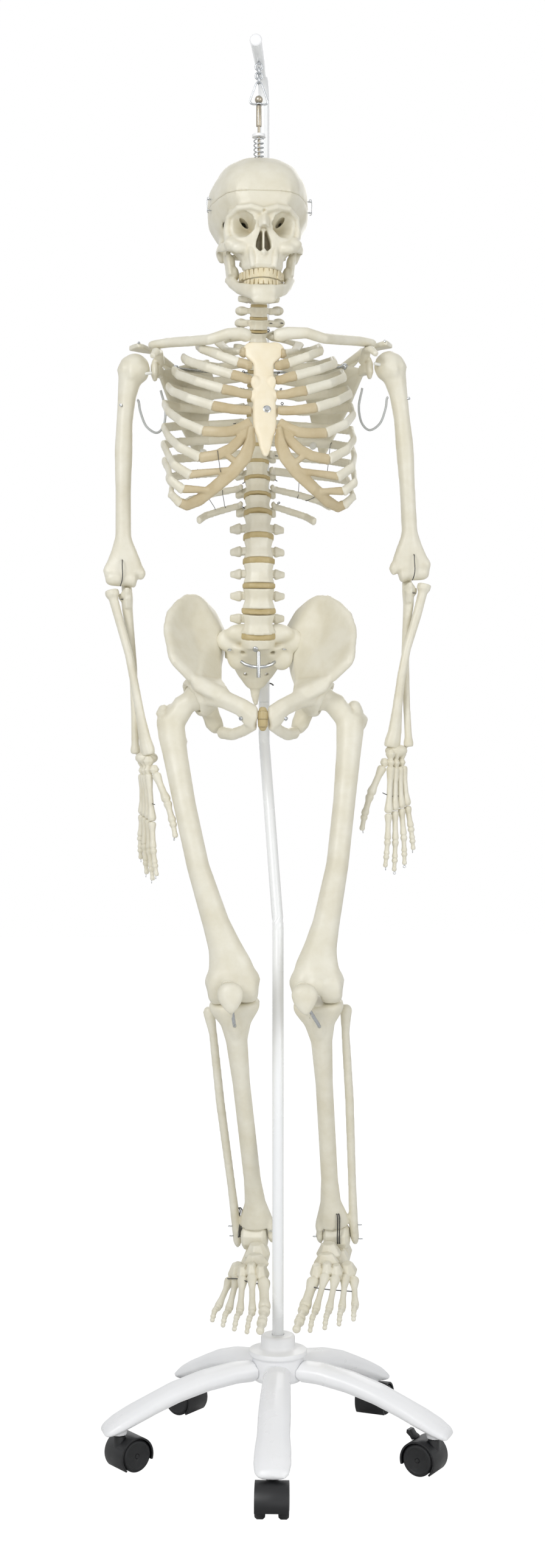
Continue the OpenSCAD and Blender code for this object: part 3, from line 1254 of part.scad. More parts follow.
module tibia() {
    t = -condyle_r - joint_gap;
    b = -shin + talus_r + joint_gap;
    skin([for (q = [[-3, 2, b, 24, 17], [-3, 2, b + 14, 23, 17], [-4, 1, b + 40, 15, 13.5],
        [-3, 0, b + 80, 12, 12], [0, -2, t - 130, 12, 15], [1, -2, t - 60, 15, 18],
        [0, 0, t - 32, 22, 20], [0, 2, t - 13, knee_w / 2 - 5, 23], [0, 3, t - 5, knee_w / 2 - 2, 24],
        [0, 3, t, knee_w / 2 - 4, 22]])
        ring([q[0], q[1], q[2]], [1, 0, 0], [0, 1, 0], q[3], q[4], 10)]);
    knob([0, -18, t - 32], [9, 8, 19], 6);
    knob([-23.6, 1, -shin + 18], [6, 13, 16], 6);
    knob([-24, -1, -shin + 3], [5.6, 10, 13], 6);
}

module fibula() {
    x = knee_w / 2;
    bone([[x - 2, 19, -condyle_r - 16, 5, 5], [x - 1, 19, -condyle_r - 22, 9.5, 9],
        [x - 2, 17, -condyle_r - 36, 7.6, 8], [x - 4, 16, -condyle_r - 58, 5.6, 6],
        [x - 5, 13, -190, 6, 7], [x - 10, 11, -shin + 80, 5.6, 6.4], [x - 12, 7, -shin + 14, 6.4, 11],
        [x - 11.6, 7, -shin - 8, 6, 10], [x - 11, 8, -shin - 19, 3.4, 5]], [1, 0, 0], 6);
}

module kneecap() {
    skin([for (q = [[-22, 3, 3], [-15, 10, 6], [-3, 18, 8.6], [9, 20, 9], [17, 15, 7], [21, 7, 4]])
        ring([0, 0, q[0]], [1, 0, 0], [0, 1, 0], q[1], q[2], 8)]);
}

module lower_leg(s) {
    slip = s > 0 ? -kneecap_slip : 0;
    color("#DEDAC8") shin_place(s) {
        tibia();
        fibula();
        rotate([-bend, 0, 0]) translate([slip, -43, -2]) kneecap();
        // steel rod that ties the kneecap to the tibia
        wire([[slip, -47.6, 3], [slip * 0.9, -46.4, -4], [0, -28, -44], [0, -20, -50]], 4, 6);
    }
}

// Foot with the sole level, ankle axis at the origin, lateral at +X
toe_y = -foot_l + 50;

module tarsals() {
    skin([for (q = [[-17, 13], [-13, talus_r - 0.1], [16, talus_r - 0.1], [20, 13]])
        ring([q[0], 0, 0], [0, 1, 0], [0, 0, 1], q[1], q[1], 10)]);
    pebble([2, 26, -38], [16, 28, 24]);
    pebble([5, -13, -32], [16, 21, 16]);
    pebble([-7, -32, -15], [18, 17, 17]);
    pebble([-8, -53, -21], [18.6, 11, 15]);
    pebble([-20, -72, -29], [10.4, 14.4, 14]);
    pebble([-5, -71, -25], [9, 13, 12.4]);
    pebble([9, -69, -29], [8.6, 13.6, 12]);
    pebble([22, -47, -37], [13.4, 19, 13.4]);
}

meta_base = [[-24, -84.6, -35], [-6.6, -82.4, -29], [8, -80.4, -33], [20, -63.4, -39],
    [32, -58, -45]];
meta_head = [[-32.4, toe_y + 62, -58], [-15, toe_y + 57, -59], [4, toe_y + 61, -60],
    [22, toe_y + 69, -61], [40, toe_y + 80, -62]];
toe_tip = [[-35.6, toe_y, -64], [-16, toe_y + 3, -67], [4, toe_y + 12, -67], [23, toe_y + 25, -67],
    [42, toe_y + 42, -67]];

module foot(s) {
    color("#DEDAC8") foot_place(s) {
        tarsals();
        for (k = [0:4]) {
            big = k == 0 ? 1 : 0;
            a = meta_head[k];
            d = toe_tip[k] - a;
            up = [0, 0, big > 0 ? 0 : 6];
            rod_bone(meta_base[k] + [0, 2.4, 0], a, 7 + 2 * big, 3.8 + 2.6 * big, 5.4 + 3 * big);
            if (k == 0) {
                rod_bone(a + d * 0.02 + [0, 0.4, 0], a + d * 0.53, 8, 5, 6.6);
                rod_bone(a + d * 0.54, a + d, 7, 4.4, 5.4);
            }
            if (k > 0) {
                rod_bone(a + d * 0.02 + [0, 0.4, 0], a + d * 0.5 + up, 4.8, 3, 3.8);
                rod_bone(a + d * 0.51 + up, a + d * 0.74 + up * 0.7, 3.8, 2.6, 3.2);
                rod_bone(a + d * 0.75 + up * 0.66, a + d, 3.6, 2.4, 3);
            }
        }
    }
}

base_hub();
base_legs();
pole_lower();
pole_upper();
pole_cap();
eye_screw();
caster_fork(0);  // caster_fork_1
caster_fork(1);  // caster_fork_2
caster_fork(2);  // caster_fork_3
caster_fork(3);  // caster_fork_4
caster_fork(4);  // caster_fork_5
caster_wheels(0);  // caster_wheels_1
caster_wheels(1);  // caster_wheels_2
caster_wheels(2);  // caster_wheels_3
caster_wheels(3);  // caster_wheels_4
caster_wheels(4);  // caster_wheels_5
brake_lever();
chain();
hanger_ring();
hanger_rod();
hanger_washer();
hanger_spring();
skull();
skull_cap();
upper_teeth();
mandible();
lower_teeth();
atlas();
cervical_vertebrae();
thoracic_vertebrae();
upper_discs();
lumbar_vertebrae();
lower_discs();
sacrum();
hip_bones();
pelvis_bracket();
ribs();
costal_cartilage();
sternum();
scapulae();
clavicles();
scapula_rod();
shoulder_cord_right();
shoulder_cord_left();
arm_node(-1, "humerus");  // humerus_right
arm_node(1, "humerus");  // humerus_left
arm_node(-1, "ulna");  // ulna_right
arm_node(1, "ulna");  // ulna_left
arm_node(-1, "radius");  // radius_right
arm_node(1, "radius");  // radius_left
arm_node(-1, "hand");  // hand_right
arm_node(1, "hand");  // hand_left
arm_node(-1, "fingers");  // fingers_right
arm_node(1, "fingers");  // fingers_left
thigh_node(-1);  // femur_right
thigh_node(1);  // femur_left
lower_leg(-1);  // lower_leg_right
lower_leg(1);  // lower_leg_left
foot(-1);  // foot_right
foot(1);  // foot_left

module thigh_node(s) {
    color("#DEDAC8") thigh_place(s) femur();
}
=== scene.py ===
# %% [markdown]
# # A jointed teaching skeleton on a roller stand
# The solids come from the imported CAD model, in metres, and every new piece goes where they are.

# %% Load the frame
import json
import math

import bpy
from mathutils import Matrix, Vector


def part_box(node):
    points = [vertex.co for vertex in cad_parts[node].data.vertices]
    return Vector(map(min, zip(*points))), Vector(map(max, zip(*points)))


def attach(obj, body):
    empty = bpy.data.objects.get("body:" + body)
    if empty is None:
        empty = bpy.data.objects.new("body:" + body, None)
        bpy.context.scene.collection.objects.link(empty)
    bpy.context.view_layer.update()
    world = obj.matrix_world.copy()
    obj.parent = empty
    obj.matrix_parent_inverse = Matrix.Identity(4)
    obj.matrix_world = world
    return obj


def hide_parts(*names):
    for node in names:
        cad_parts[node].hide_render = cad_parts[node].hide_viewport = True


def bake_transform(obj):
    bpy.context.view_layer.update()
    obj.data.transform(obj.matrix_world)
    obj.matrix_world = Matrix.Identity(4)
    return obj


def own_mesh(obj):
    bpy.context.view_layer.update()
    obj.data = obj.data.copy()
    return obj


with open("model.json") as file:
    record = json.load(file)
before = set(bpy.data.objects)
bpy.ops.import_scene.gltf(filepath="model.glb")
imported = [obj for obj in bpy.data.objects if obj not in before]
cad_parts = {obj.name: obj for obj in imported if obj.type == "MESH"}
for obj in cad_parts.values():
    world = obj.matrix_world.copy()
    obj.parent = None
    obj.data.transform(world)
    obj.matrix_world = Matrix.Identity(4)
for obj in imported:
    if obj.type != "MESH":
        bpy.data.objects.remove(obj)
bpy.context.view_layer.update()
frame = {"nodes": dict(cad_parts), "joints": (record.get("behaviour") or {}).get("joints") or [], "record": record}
nodes = frame["nodes"]
body_of_node = {n: b for b, ns in frame["record"]["behaviour"]["bodies"].items() for n in ns}
slot_of_node = {s["node"]: s["material_slot"] for s in frame["record"]["subparts"]}
joint_at = {j["name"]: Vector(j["pos_m"]) for j in frame["joints"] if "pos_m" in j}

# %% [markdown]
# ## The camera
# The photograph was taken a little from the skeleton's right, at about the height of the hands.
# A lens of 30.8 mm on a 24 mm high sensor gives the picture's angle, and the same numbers turn a
# pixel of the picture into a ray, which later finds the place of a screw or a wire on its bone.

# %% Camera and rays
wide_px, high_px, focal_px = 896, 2576, 3303
turn = math.radians(-5)
distance, aside, eye_height = 2.94, -0.008, 0.982
camera_at = Vector((math.sin(turn) * distance + aside * math.cos(turn),
                    -math.cos(turn) * distance + aside * math.sin(turn), eye_height))
bpy.ops.object.select_all(action="DESELECT")
bpy.ops.object.camera_add(location=camera_at, rotation=(math.radians(90), 0, turn))
camera = bpy.context.object
camera.data.sensor_fit = "VERTICAL"
camera.data.sensor_height = 24
camera.data.lens = camera.data.sensor_height * focal_px / high_px
bpy.context.scene.camera = camera


def ray(px, py):
    """Direction from the camera through a pixel of the picture."""
    right = Vector((math.cos(turn), math.sin(turn), 0))
    ahead = Vector((-math.sin(turn), math.cos(turn), 0))
    up = Vector((0, 0, 1))
    return (ahead + right * (px - wide_px / 2) / focal_px + up * (high_px / 2 - py) / focal_px).normalized()


print("camera at", [round(v, 3) for v in camera_at])

# %% [markdown]
# ## Light and background
# The object was lit by large soft lamps in front of a white sheet. Four wide area lamps and a pale
# world do the same, and glossy pieces mirror a brighter room. The floor is white paper, and the
# camera sees it as plain white, as the photograph's cut-out background is.

# %% Light and floor
scene = bpy.context.scene
scene.view_settings.view_transform = "Standard"


def linear(code):
    """A linear colour from an sRGB hex value."""
    parts = [int(code[i:i + 2], 16) / 255 for i in (1, 3, 5)]
    return tuple(p / 12.92 if p <= 0.04045 else ((p + 0.055) / 1.055) ** 2.4 for p in parts) + (1.0,)


def add(tree, kind, settings=None, **sockets):
    """Adds a node, sets it up, and links or fills its sockets, named with _ for a space."""
    made = tree.nodes.new(kind)
    for name, value in (settings or {}).items():
        setattr(made, name, value)
    for name, value in sockets.items():
        socket = made.inputs[name.replace("_", " ")]
        if isinstance(value, bpy.types.NodeSocket):
            tree.links.new(value, socket)
        else:
            socket.default_value = value
    return made


def lamp(name, at, aim, size, watts):
    """A wide soft lamp that points at aim."""
    bpy.ops.object.light_add(type="AREA", location=at)
    made = bpy.context.object
    made.name = name
    made.data.shape = "RECTANGLE"
    made.data.size, made.data.size_y = size
    made.data.energy = watts
    made.rotation_euler = (Vector(aim) - Vector(at)).to_track_quat("-Z", "Y").to_euler()


def seen_by_camera(tree):
    """The light path node, and a node that is 1 for what the camera sees, also through the clear cord."""
    rays = add(tree, "ShaderNodeLightPath")
    seen = add(tree, "ShaderNodeMath", {"operation": "MAXIMUM"})
    tree.links.new(rays.outputs["Is Camera Ray"], seen.inputs[0])
    tree.links.new(rays.outputs["Is Transmission Ray"], seen.inputs[1])
    return rays, seen


lamp("key_lamp", (-2.2, -3.0, 2.9), (0, 0, 1.2), (1.6, 2.6), 68)
lamp("fill_lamp", (2.4, -2.8, 1.8), (0, 0, 1.0), (1.6, 2.6), 32)
lamp("low_lamp", (0.2, -3.6, 0.5), (0, 0, 0.6), (2.2, 1.2), 7)
lamp("back_lamp", (0.6, 2.6, 2.6), (0, 0, 1.2), (2.0, 2.0), 26)

world = bpy.data.worlds.new("studio")
scene.world = world
world.use_nodes = True
tree = world.node_tree
tree.nodes.clear()
rays, seen = seen_by_camera(tree)
walls = add(tree, "ShaderNodeMath", {"operation": "MULTIPLY_ADD"})
tree.links.new(rays.outputs["Is Glossy Ray"], walls.inputs[0])
walls.inputs[1].default_value, walls.inputs[2].default_value = 0.52, 0.46
soft = add(tree, "ShaderNodeBackground", Color=linear("#F4F5F6"), Strength=walls.outputs[0])
white = add(tree, "ShaderNodeBackground", Color=(1, 1, 1, 1), Strength=1.0)
both = add(tree, "ShaderNodeMixShader", Fac=seen.outputs[0])
tree.links.new(soft.outputs[0], both.inputs[1])
tree.links.new(white.outputs[0], both.inputs[2])
add(tree, "ShaderNodeOutputWorld", Surface=both.outputs[0])

bpy.ops.object.select_all(action="DESELECT")
bpy.ops.mesh.primitive_plane_add(size=14, location=(0, 3, -0.0005))
floor = bpy.context.object
floor.name = "paper_floor"
paper = bpy.data.materials.new("white_paper")
paper.use_nodes = True
tree = paper.node_tree
tree.nodes.clear()
rays, seen = seen_by_camera(tree)
share = add(tree, "ShaderNodeMath", {"operation": "MULTIPLY"})
tree.links.new(seen.outputs[0], share.inputs[0])
share.inputs[1].default_value = 0.9  # the rest is the paper's own shading
lit = add(tree, "ShaderNodeBsdfDiffuse", Color=linear("#F2F2F1"))
plain = add(tree, "ShaderNodeEmission", Color=(1, 1, 1, 1), Strength=1.13)
both = add(tree, "ShaderNodeMixShader", Fac=share.outputs[0])
tree.links.new(lit.outputs[0], both.inputs[1])
tree.links.new(plain.outputs[0], both.inputs[2])
add(tree, "ShaderNodeOutputMaterial", Surface=both.outputs[0])
floor.data.materials.append(paper)
print("four lamps and a paper floor")

# %% [markdown]
# ## Moulded plastics
# The bones are PVC cast in moulds: ivory and satin, with faint cloudy patches. The hollows get a
# painted shade, a little darker and yellower. Pointiness, which is how far a point stands out,
# finds hollows and edges. A slow noise of about 40 mm gives the clouds, and a fine one the skin of
# the mould, drawn near 1.4 mm because the real 0.2 mm grain is too fine to show.

# %% Plastics
def moulded(name, pale, deep, hollow_shade_colour, edge, rough, cloud_mm=40, grain_mm=1.4, relief=0.00012):
    """A cast plastic: clouds between two colours, painted shade in the hollows, paler edges and a fine skin."""
    made = bpy.data.materials.new(name)
    made.use_nodes = True
    tree = made.node_tree
    tree.nodes.clear()
    place = add(tree, "ShaderNodeTexCoord").outputs["Object"]
    cloud = add(tree, "ShaderNodeTexNoise", Vector=place, Scale=1000 / cloud_mm, Detail=5.0, Roughness=0.6)
    spread = add(tree, "ShaderNodeMapRange", Value=cloud.outputs["Fac"], From_Min=0.35, From_Max=0.68)
    tone = add(tree, "ShaderNodeMixRGB", Fac=spread.outputs[0], Color1=linear(pale), Color2=linear(deep))
    form = add(tree, "ShaderNodeNewGeometry").outputs["Pointiness"]
    # Painted shade: where pointiness is low, in the hollows, the tone is mixed towards the hollow colour.
    painted_shade_mask = add(tree, "ShaderNodeMapRange", Value=form, From_Min=0.5, From_Max=0.42, To_Max=0.75)
    shaded_tone = add(tree, "ShaderNodeMixRGB", Fac=painted_shade_mask.outputs[0], Color1=tone.outputs[0], Color2=linear(hollow_shade_colour))
    # Edges that stand out, where pointiness is high, are mixed towards a paler colour.
    rim = add(tree, "ShaderNodeMapRange", Value=form, From_Min=0.53, From_Max=0.6, To_Max=0.5)
    edge_tone = add(tree, "ShaderNodeMixRGB", Fac=rim.outputs[0], Color1=shaded_tone.outputs[0], Color2=linear(edge))
    grain = add(tree, "ShaderNodeTexNoise", Vector=place, Scale=1000 / grain_mm, Detail=3.0)
    gloss = add(tree, "ShaderNodeMapRange", Value=cloud.outputs["Fac"], From_Min=0.3, From_Max=0.7,
                To_Min=rough - 0.06, To_Max=rough + 0.08)
    bump = add(tree, "ShaderNodeBump", Height=grain.outputs["Fac"], Strength=0.35, Distance=relief)
    skin = add(tree, "ShaderNodeBsdfPrincipled", Base_Color=edge_tone.outputs[0], Roughness=gloss.outputs[0],
               IOR=1.53, Normal=bump.outputs[0])
    add(tree, "ShaderNodeOutputMaterial", Surface=skin.outputs[0])
    return made


# In each plastic the third colour is the painted shade of its hollows.
finish = {
    "moulded_bone": moulded("cast_pvc_bone", "#EAE6D6", "#DFD9C4", "#BCAC84", "#F2EFE3", 0.40),
    "teeth": moulded("cast_pvc_teeth", "#E6DBBC", "#DCCEA6", "#A88F5C", "#F0E9D4", 0.28, 12, 0.9),
    "sternum": moulded("cast_pvc_breastbone", "#F6ECD3", "#F0E3C4", "#CDB98E", "#FAF3E2", 0.42, 30),
    "cartilage": moulded("painted_pvc_cartilage", "#CBBC9A", "#C0AE88", "#A8966D", "#D7CBAF", 0.46, 34),
    "disc": moulded("painted_pvc_disc", "#C2B083", "#B6A372", "#9C8759", "#CDBF98", 0.45, 20),
}
print("plastics", [m.name for m in finish.values()])

# %% [markdown]
# ## Stand finishes
# The pole is steel tube with a gloss white enamel, which flows into faint waves as it dries. The
# star base and the pole's cap are moulded ABS with a fine spark texture. The casters are black nylon,
# the treads a duller black. The fittings are zinc-plated steel, brushed round by the drawing of the
# wire, and the suspension rod has a thin, worn yellow chromate.

# %% Stand finishes
def hard(name, pale, deep, rough, metal=0.0, spot_mm=6.0, grain_mm=1.2, relief=0.00004, coat=0.0):
    """A hard finish: two near colours in slow patches, with the roughness and relief of its process."""
    made = bpy.data.materials.new(name)
    made.use_nodes = True
    tree = made.node_tree
    tree.nodes.clear()
    place = add(tree, "ShaderNodeTexCoord").outputs["Object"]
    patch = add(tree, "ShaderNodeTexNoise", Vector=place, Scale=1000 / spot_mm, Detail=4.0)
    tone = add(tree, "ShaderNodeMixRGB", Fac=patch.outputs["Fac"], Color1=linear(pale), Color2=linear(deep))
    gloss = add(tree, "ShaderNodeMapRange", Value=patch.outputs["Fac"], From_Min=0.3, From_Max=0.7,
                To_Min=max(rough - 0.05, 0.03), To_Max=rough + 0.07)
    grain = add(tree, "ShaderNodeTexNoise", Vector=place, Scale=1000 / grain_mm, Detail=2.0)
    bump = add(tree, "ShaderNodeBump", Height=grain.outputs["Fac"], Strength=0.3, Distance=relief)
    skin = add(tree, "ShaderNodeBsdfPrincipled", Base_Color=tone.outputs[0], Metallic=metal,
               Roughness=gloss.outputs[0], Normal=bump.outputs[0])
    if coat:
        skin.inputs["Coat Weight"].default_value = coat
        skin.inputs["Coat Roughness"].default_value = 0.08
    add(tree, "ShaderNodeOutputMaterial", Surface=skin.outputs[0])
    return made


for slot, name, pale, deep, rough, how in (
        ("pole_enamel", "gloss_white_enamel", "#FCFDFE", "#F7F9FA", 0.24,
         dict(spot_mm=60, grain_mm=9, relief=0.00004, coat=0.3)),
        ("white_plastic", "moulded_white_abs", "#FBFBFC", "#F5F6F8", 0.30,
         dict(spot_mm=45, grain_mm=1.6, relief=0.00007)),
        ("black_plastic", "moulded_black_nylon", "#0B0C10", "#08090C", 0.42,
         dict(spot_mm=18, grain_mm=1.1, relief=0.00008)),
        ("caster_tread", "moulded_tread_rubber", "#0F1013", "#0B0C0E", 0.60,
         dict(spot_mm=10, grain_mm=1.0, relief=0.0001)),
        ("plated_steel", "zinc_plated_steel", "#C9CBCD", "#B4B7BA", 0.26,
         dict(metal=1.0, spot_mm=4, grain_mm=0.8, relief=0.00002)),
        ("bronze_rod", "yellow_chromate_steel", "#B9B2A4", "#9C9280", 0.26,
         dict(metal=1.0, spot_mm=5, grain_mm=0.8, relief=0.00002)),
        ("dark_steel", "oiled_steel_wire", "#6A6A68", "#4C4B49", 0.34,
         dict(metal=1.0, spot_mm=4, grain_mm=0.8, relief=0.00002)),
        ("white_peg", "moulded_white_nylon", "#EDEDE8", "#E2E2DB", 0.35,
         dict(spot_mm=8, grain_mm=1.0, relief=0.00005))):
    finish[slot] = hard(name, pale, deep, rough, **how)

cord_skin = bpy.data.materials.new("clear_extruded_elastomer")
cord_skin.use_nodes = True
tree = cord_skin.node_tree
tree.nodes.clear()
place = add(tree, "ShaderNodeTexCoord").outputs["Object"]
haze = add(tree, "ShaderNodeTexNoise", Vector=place, Scale=1000 / 5, Detail=3.0)
tone = add(tree, "ShaderNodeMixRGB", Fac=haze.outputs["Fac"], Color1=linear("#D3D6D6"),
           Color2=linear("#BBBEBE"))
skin = add(tree, "ShaderNodeBsdfPrincipled", Base_Color=tone.outputs[0], Roughness=0.22, IOR=1.5)
skin.inputs["Transmission Weight"].default_value = 0.2
add(tree, "ShaderNodeOutputMaterial", Surface=skin.outputs[0])
finish["cord"] = cord_skin
print("finishes", sorted(finish))

# %% [markdown]
# ## Bones
# A real bone has no flat facets, while the solids keep few faces. So each bone's mesh is copied and
# merged, cast again in small voxels, and smoothed. Plain smoothing shrinks a thin bone, so as many
# passes outwards follow the passes inwards: ripples go and the size stays. Coarse bones get larger
# voxels and more passes, and hands, feet and vertebrae get finer ones.

# %% Smooth castings
def pick(made):
    """Makes a piece the active one."""
    bpy.ops.object.select_all(action="DESELECT")
    made.select_set(True)
    bpy.context.view_layer.objects.active = made


def stand_in(made, node):
    """Gives a piece the finish of the CAD node's slot and the node's body, and hides the node."""
    made.data.materials.clear()
    made.data.materials.append(finish[slot_of_node[node]])
    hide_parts(node)
    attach(made, body_of_node[node])


def cast(node, voxel_mm, rounds, swell_mm=0.0, lumps=()):
    """A smooth casting of a CAD node. Lumps are soft swellings: a centre and three half sizes in metres."""
    made = bpy.data.objects.new(node + "_cast", nodes[node].data.copy())
    scene.collection.objects.link(made)
    pick(made)
    bpy.ops.object.mode_set(mode="EDIT")
    bpy.ops.mesh.select_all(action="SELECT")
    bpy.ops.mesh.remove_doubles(threshold=0.00001)
    for centre, half in lumps:
        bpy.ops.mesh.primitive_uv_sphere_add(segments=20, ring_count=12, radius=1, location=centre,
                                             scale=half)
    bpy.ops.object.mode_set(mode="OBJECT")
    remesh = made.modifiers.new("voxels", "REMESH")
    remesh.mode = "VOXEL"
    remesh.voxel_size = voxel_mm / 1000
    bpy.ops.object.modifier_apply(modifier=remesh.name)
    ease(made, rounds)
    if swell_mm:
        plump(made, swell_mm)
    bpy.ops.object.shade_smooth()
    stand_in(made, node)
    return made


def plump(made, mm):
    """Swells the active piece outwards all over."""
    swell = made.modifiers.new("swell", "DISPLACE")
    swell.mid_level = 0
    swell.strength = mm / 1000
    bpy.ops.object.modifier_apply(modifier=swell.name)


def ease(made, rounds):
    """Smooths the active piece: 8 passes inwards and 8 outwards, as often as rounds says."""
    for factor in (0.5, -0.505) * rounds:
        pull = made.modifiers.new("ease", "SMOOTH")
        pull.factor = factor
        pull.iterations = 8
        bpy.ops.object.modifier_apply(modifier=pull.name)


def weigh(made, weight):
    """Names a group of the points where weight(point) is above 0."""
    group = made.vertex_groups.new(name="weight")
    for v in made.data.vertices:
        w = weight(v.co)
        if w > 0:
            group.add([v.index], min(w, 1.0), "REPLACE")
    return group.name


def soften(made, weight, passes):
    """Smooths the active piece by plain passes where weight(point) is above 0."""
    pull = made.modifiers.new("soften", "SMOOTH")
    pull.factor = 0.5
    pull.iterations = passes
    pull.vertex_group = weigh(made, weight)
    bpy.ops.object.modifier_apply(modifier=pull.name)
    made.vertex_groups.clear()


# %% [markdown]
# Some forms of a bone are only swellings on a larger one, such as the wavy edge of the breastbone or
# the knob at the top of a thigh. Stretched spheres are added to the copy before it is cast, and the
# voxels melt them into it. Their places come from the picture or are measured from the neck joint.

# %% Swellings
def seen_at(px, py, y):
    """The point that a pixel shows in the upright plane at depth y."""
    way = ray(px, py)
    return camera_at + way * ((y - camera_at.y) / way.y)


# The breastbone's edge swells between the ribs that meet it.
plate = (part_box("sternum")[0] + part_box("sternum")[1]) / 2
edge_swells = [(seen_at(px, py, plate.y + 0.002 + dy), (0.0060, 0.0028, 0.0095)) for px, py, dy in (
    (419, 628, -0.001), (447, 628, -0.001), (418, 651, -0.002), (449, 651, -0.002),
    (419, 677, -0.003), (451, 677, -0.003))]
# Its handle is broad at the top.
handle_top = max(v.co.z for v in nodes["sternum"].data.vertices)
depths = [v.co.y for v in nodes["sternum"].data.vertices if v.co.z > handle_top - 0.02]
edge_swells += [(seen_at(px, 575, sum(depths) / len(depths)), (0.013, 0.0042, 0.011)) for px in (415, 452)]
# The sacrum's wings reach out to the hip bones on both sides of its top.
middle_x = (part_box("sacrum")[0].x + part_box("sacrum")[1].x) / 2
wings = [(seen_at(px, py, y), half) for px, py, y, half in (
    (397, 1040, 0.020, (0.024, 0.012, 0.014)), (457, 1040, 0.020, (0.024, 0.012, 0.014)),
    (377, 1052, 0.030, (0.020, 0.010, 0.018)), (478, 1052, 0.030, (0.020, 0.010, 0.018)),
    (392, 1078, 0.034, (0.018, 0.009, 0.022)), (463, 1078, 0.034, (0.018, 0.009, 0.022)))]
# The face: temple wall, cheek and its root on the upper jaw. The lower jaw: the broad branch below
# its joint. Both are measured from the neck joint, which lies below the cap's saw cut.
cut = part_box("skull_cap")[0].z
neck_below_cut = 0.0594


def in_skull(x, y, z):
    """A point from millimetres across the skull, back from its middle and up from the neck joint."""
    return Vector((middle_x + x / 1000, y / 1000, cut - neck_below_cut + z / 1000))


cheeks, branches = [], []
for side in (-1, 1):
    cheeks += [(in_skull(side * 50, -52, 14), (0.005, 0.012, 0.013)),
               (in_skull(side * 35, -76, -20), (0.012, 0.008, 0.008)),
               (in_skull(side * 46, -70, -12), (0.011, 0.009, 0.007))]
    branches += [(in_skull(side * 40, -32, -50), (0.008, 0.010, 0.015)),
                 (in_skull(side * 43.5, -32, -33), (0.006, 0.009, 0.014))]

# The outer knobs of the thighs.
knobs = {hand: [(seen_at(px, py, 0.008), (0.015, 0.016, 0.021)),
                (seen_at(px + way * 15, py - 9, 0.006), (0.016, 0.014, 0.012))]
         for hand, px, py, way in (("right", 276, 1188, 1), ("left", 587, 1180, -1))}
# The wrist bones close up to the forearm, and the neck's side processes stand out beside its bodies.
wrists = {}
for hand in ("right", "left"):
    points = [v.co for v in nodes[f"hand_{hand}"].data.vertices]
    top = max(p.z for p in points)
    near = [p for p in points if p.z > top - 0.008]
    wrists[hand] = [(sum(near, Vector()) / len(near) + Vector((0, 0, 0.003)), (0.016, 0.010, 0.009))]
neck_y = sum(c.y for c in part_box("cervical_vertebrae")) / 2 - 0.004
neck = [(seen_at(px, py, neck_y), (0.009, 0.008, 0.006)) for px, py in (
    (397, 511), (456, 511), (396, 531), (458, 531), (393, 549), (462, 549))]
print("saw cut at", round(cut, 4), "middle at", round(middle_x, 4))

# %% Castings
casts = {}
for node, voxel_mm, rounds, *rest in (
        ("skull", 1.6, 3, 0.3, cheeks), ("skull_cap", 2.0, 4, 0.3), ("mandible", 1.3, 5, 0.0, branches),
        ("atlas", 1.2, 3), ("cervical_vertebrae", 1.2, 2, 1.0, neck), ("thoracic_vertebrae", 1.4, 2, 0.4),
        ("lumbar_vertebrae", 1.5, 2, 0.8), ("sacrum", 1.6, 5, 0.0, wings), ("hip_bones", 2.0, 10, 0.8),
        ("ribs", 1.8, 4, 1.2), ("costal_cartilage", 1.6, 4, 1.0), ("sternum", 1.3, 2, 0.4, edge_swells),
        ("scapulae", 1.4, 5, 0.3), ("clavicles", 1.5, 6, 1.3), ("upper_discs", 1.1, 0, 0.3),
        ("lower_discs", 1.3, 0, 0.2), ("upper_teeth", 0.6, 1), ("lower_teeth", 0.6, 1),
        *((f"{bone}_{hand}", *how) for hand in ("right", "left") for bone, *how in (
            ("humerus", 2.0, 8), ("ulna", 1.6, 6), ("radius", 1.6, 6), ("hand", 0.9, 2, 0.8, wrists[hand]),
            ("fingers", 0.9, 2, 0.6), ("femur", 2.4, 8, 0.4, knobs[hand]), ("lower_leg", 2.2, 8, 0.5),
            ("foot", 1.2, 4, 0.7)))):
    casts[node] = cast(node, voxel_mm, rounds, *rest)
faces = {n: len(c.data.polygons) for n, c in casts.items()}
print(len(casts), "castings,", sum(faces.values()), "faces, most in", max(faces, key=faces.get))

# %% [markdown]
# Voxels keep the facets of a coarse solid. So the big bones get plain passes as well, and then swell
# by what the passes took off. The dome of the skull has the largest facets of all. It gets many plain
# passes, which fade out near the saw cut and towards the face, so that the cut stays sharp and the
# face keeps its forms. Cheeks, jaw, hips, knees and the side processes of the vertebrae are rounded in
# the same way. The jaw rises towards its corners, the kneecaps hang down to the joint's gap, and the
# bodies of the vertebrae are drawn in between the discs. The slanted clefts at the back of the eye
# sockets are then cut through to the braincase.

# %% Soft forms
def shift(made, weight, mm, way="Z"):
    """Moves the active piece's points up, or along its normals, by mm times weight(point)."""
    move = made.modifiers.new("shift", "DISPLACE")
    move.direction = way
    move.mid_level = 0
    move.strength = mm / 1000
    move.vertex_group = weigh(made, weight)
    bpy.ops.object.modifier_apply(modifier=move.name)
    made.vertex_groups.clear()


def ramp(value, start, length):
    """0 up to start, then rising to 1 over a length."""
    return min(max((value - start) / length, 0), 1)


def from_middle(c):
    """How far a point lies to either side of the body's middle."""
    return abs(c.x - middle_x)


def dome(c):
    """Where the braincase is smooth: away from the cut, and behind and above the face."""
    above_face = max((c.y + 0.045) / 0.02, (c.z - cut + 0.021) / 0.008)
    return min((abs(c.z - cut) - 0.003) / 0.010, 1.0 if c.z > cut else above_face)


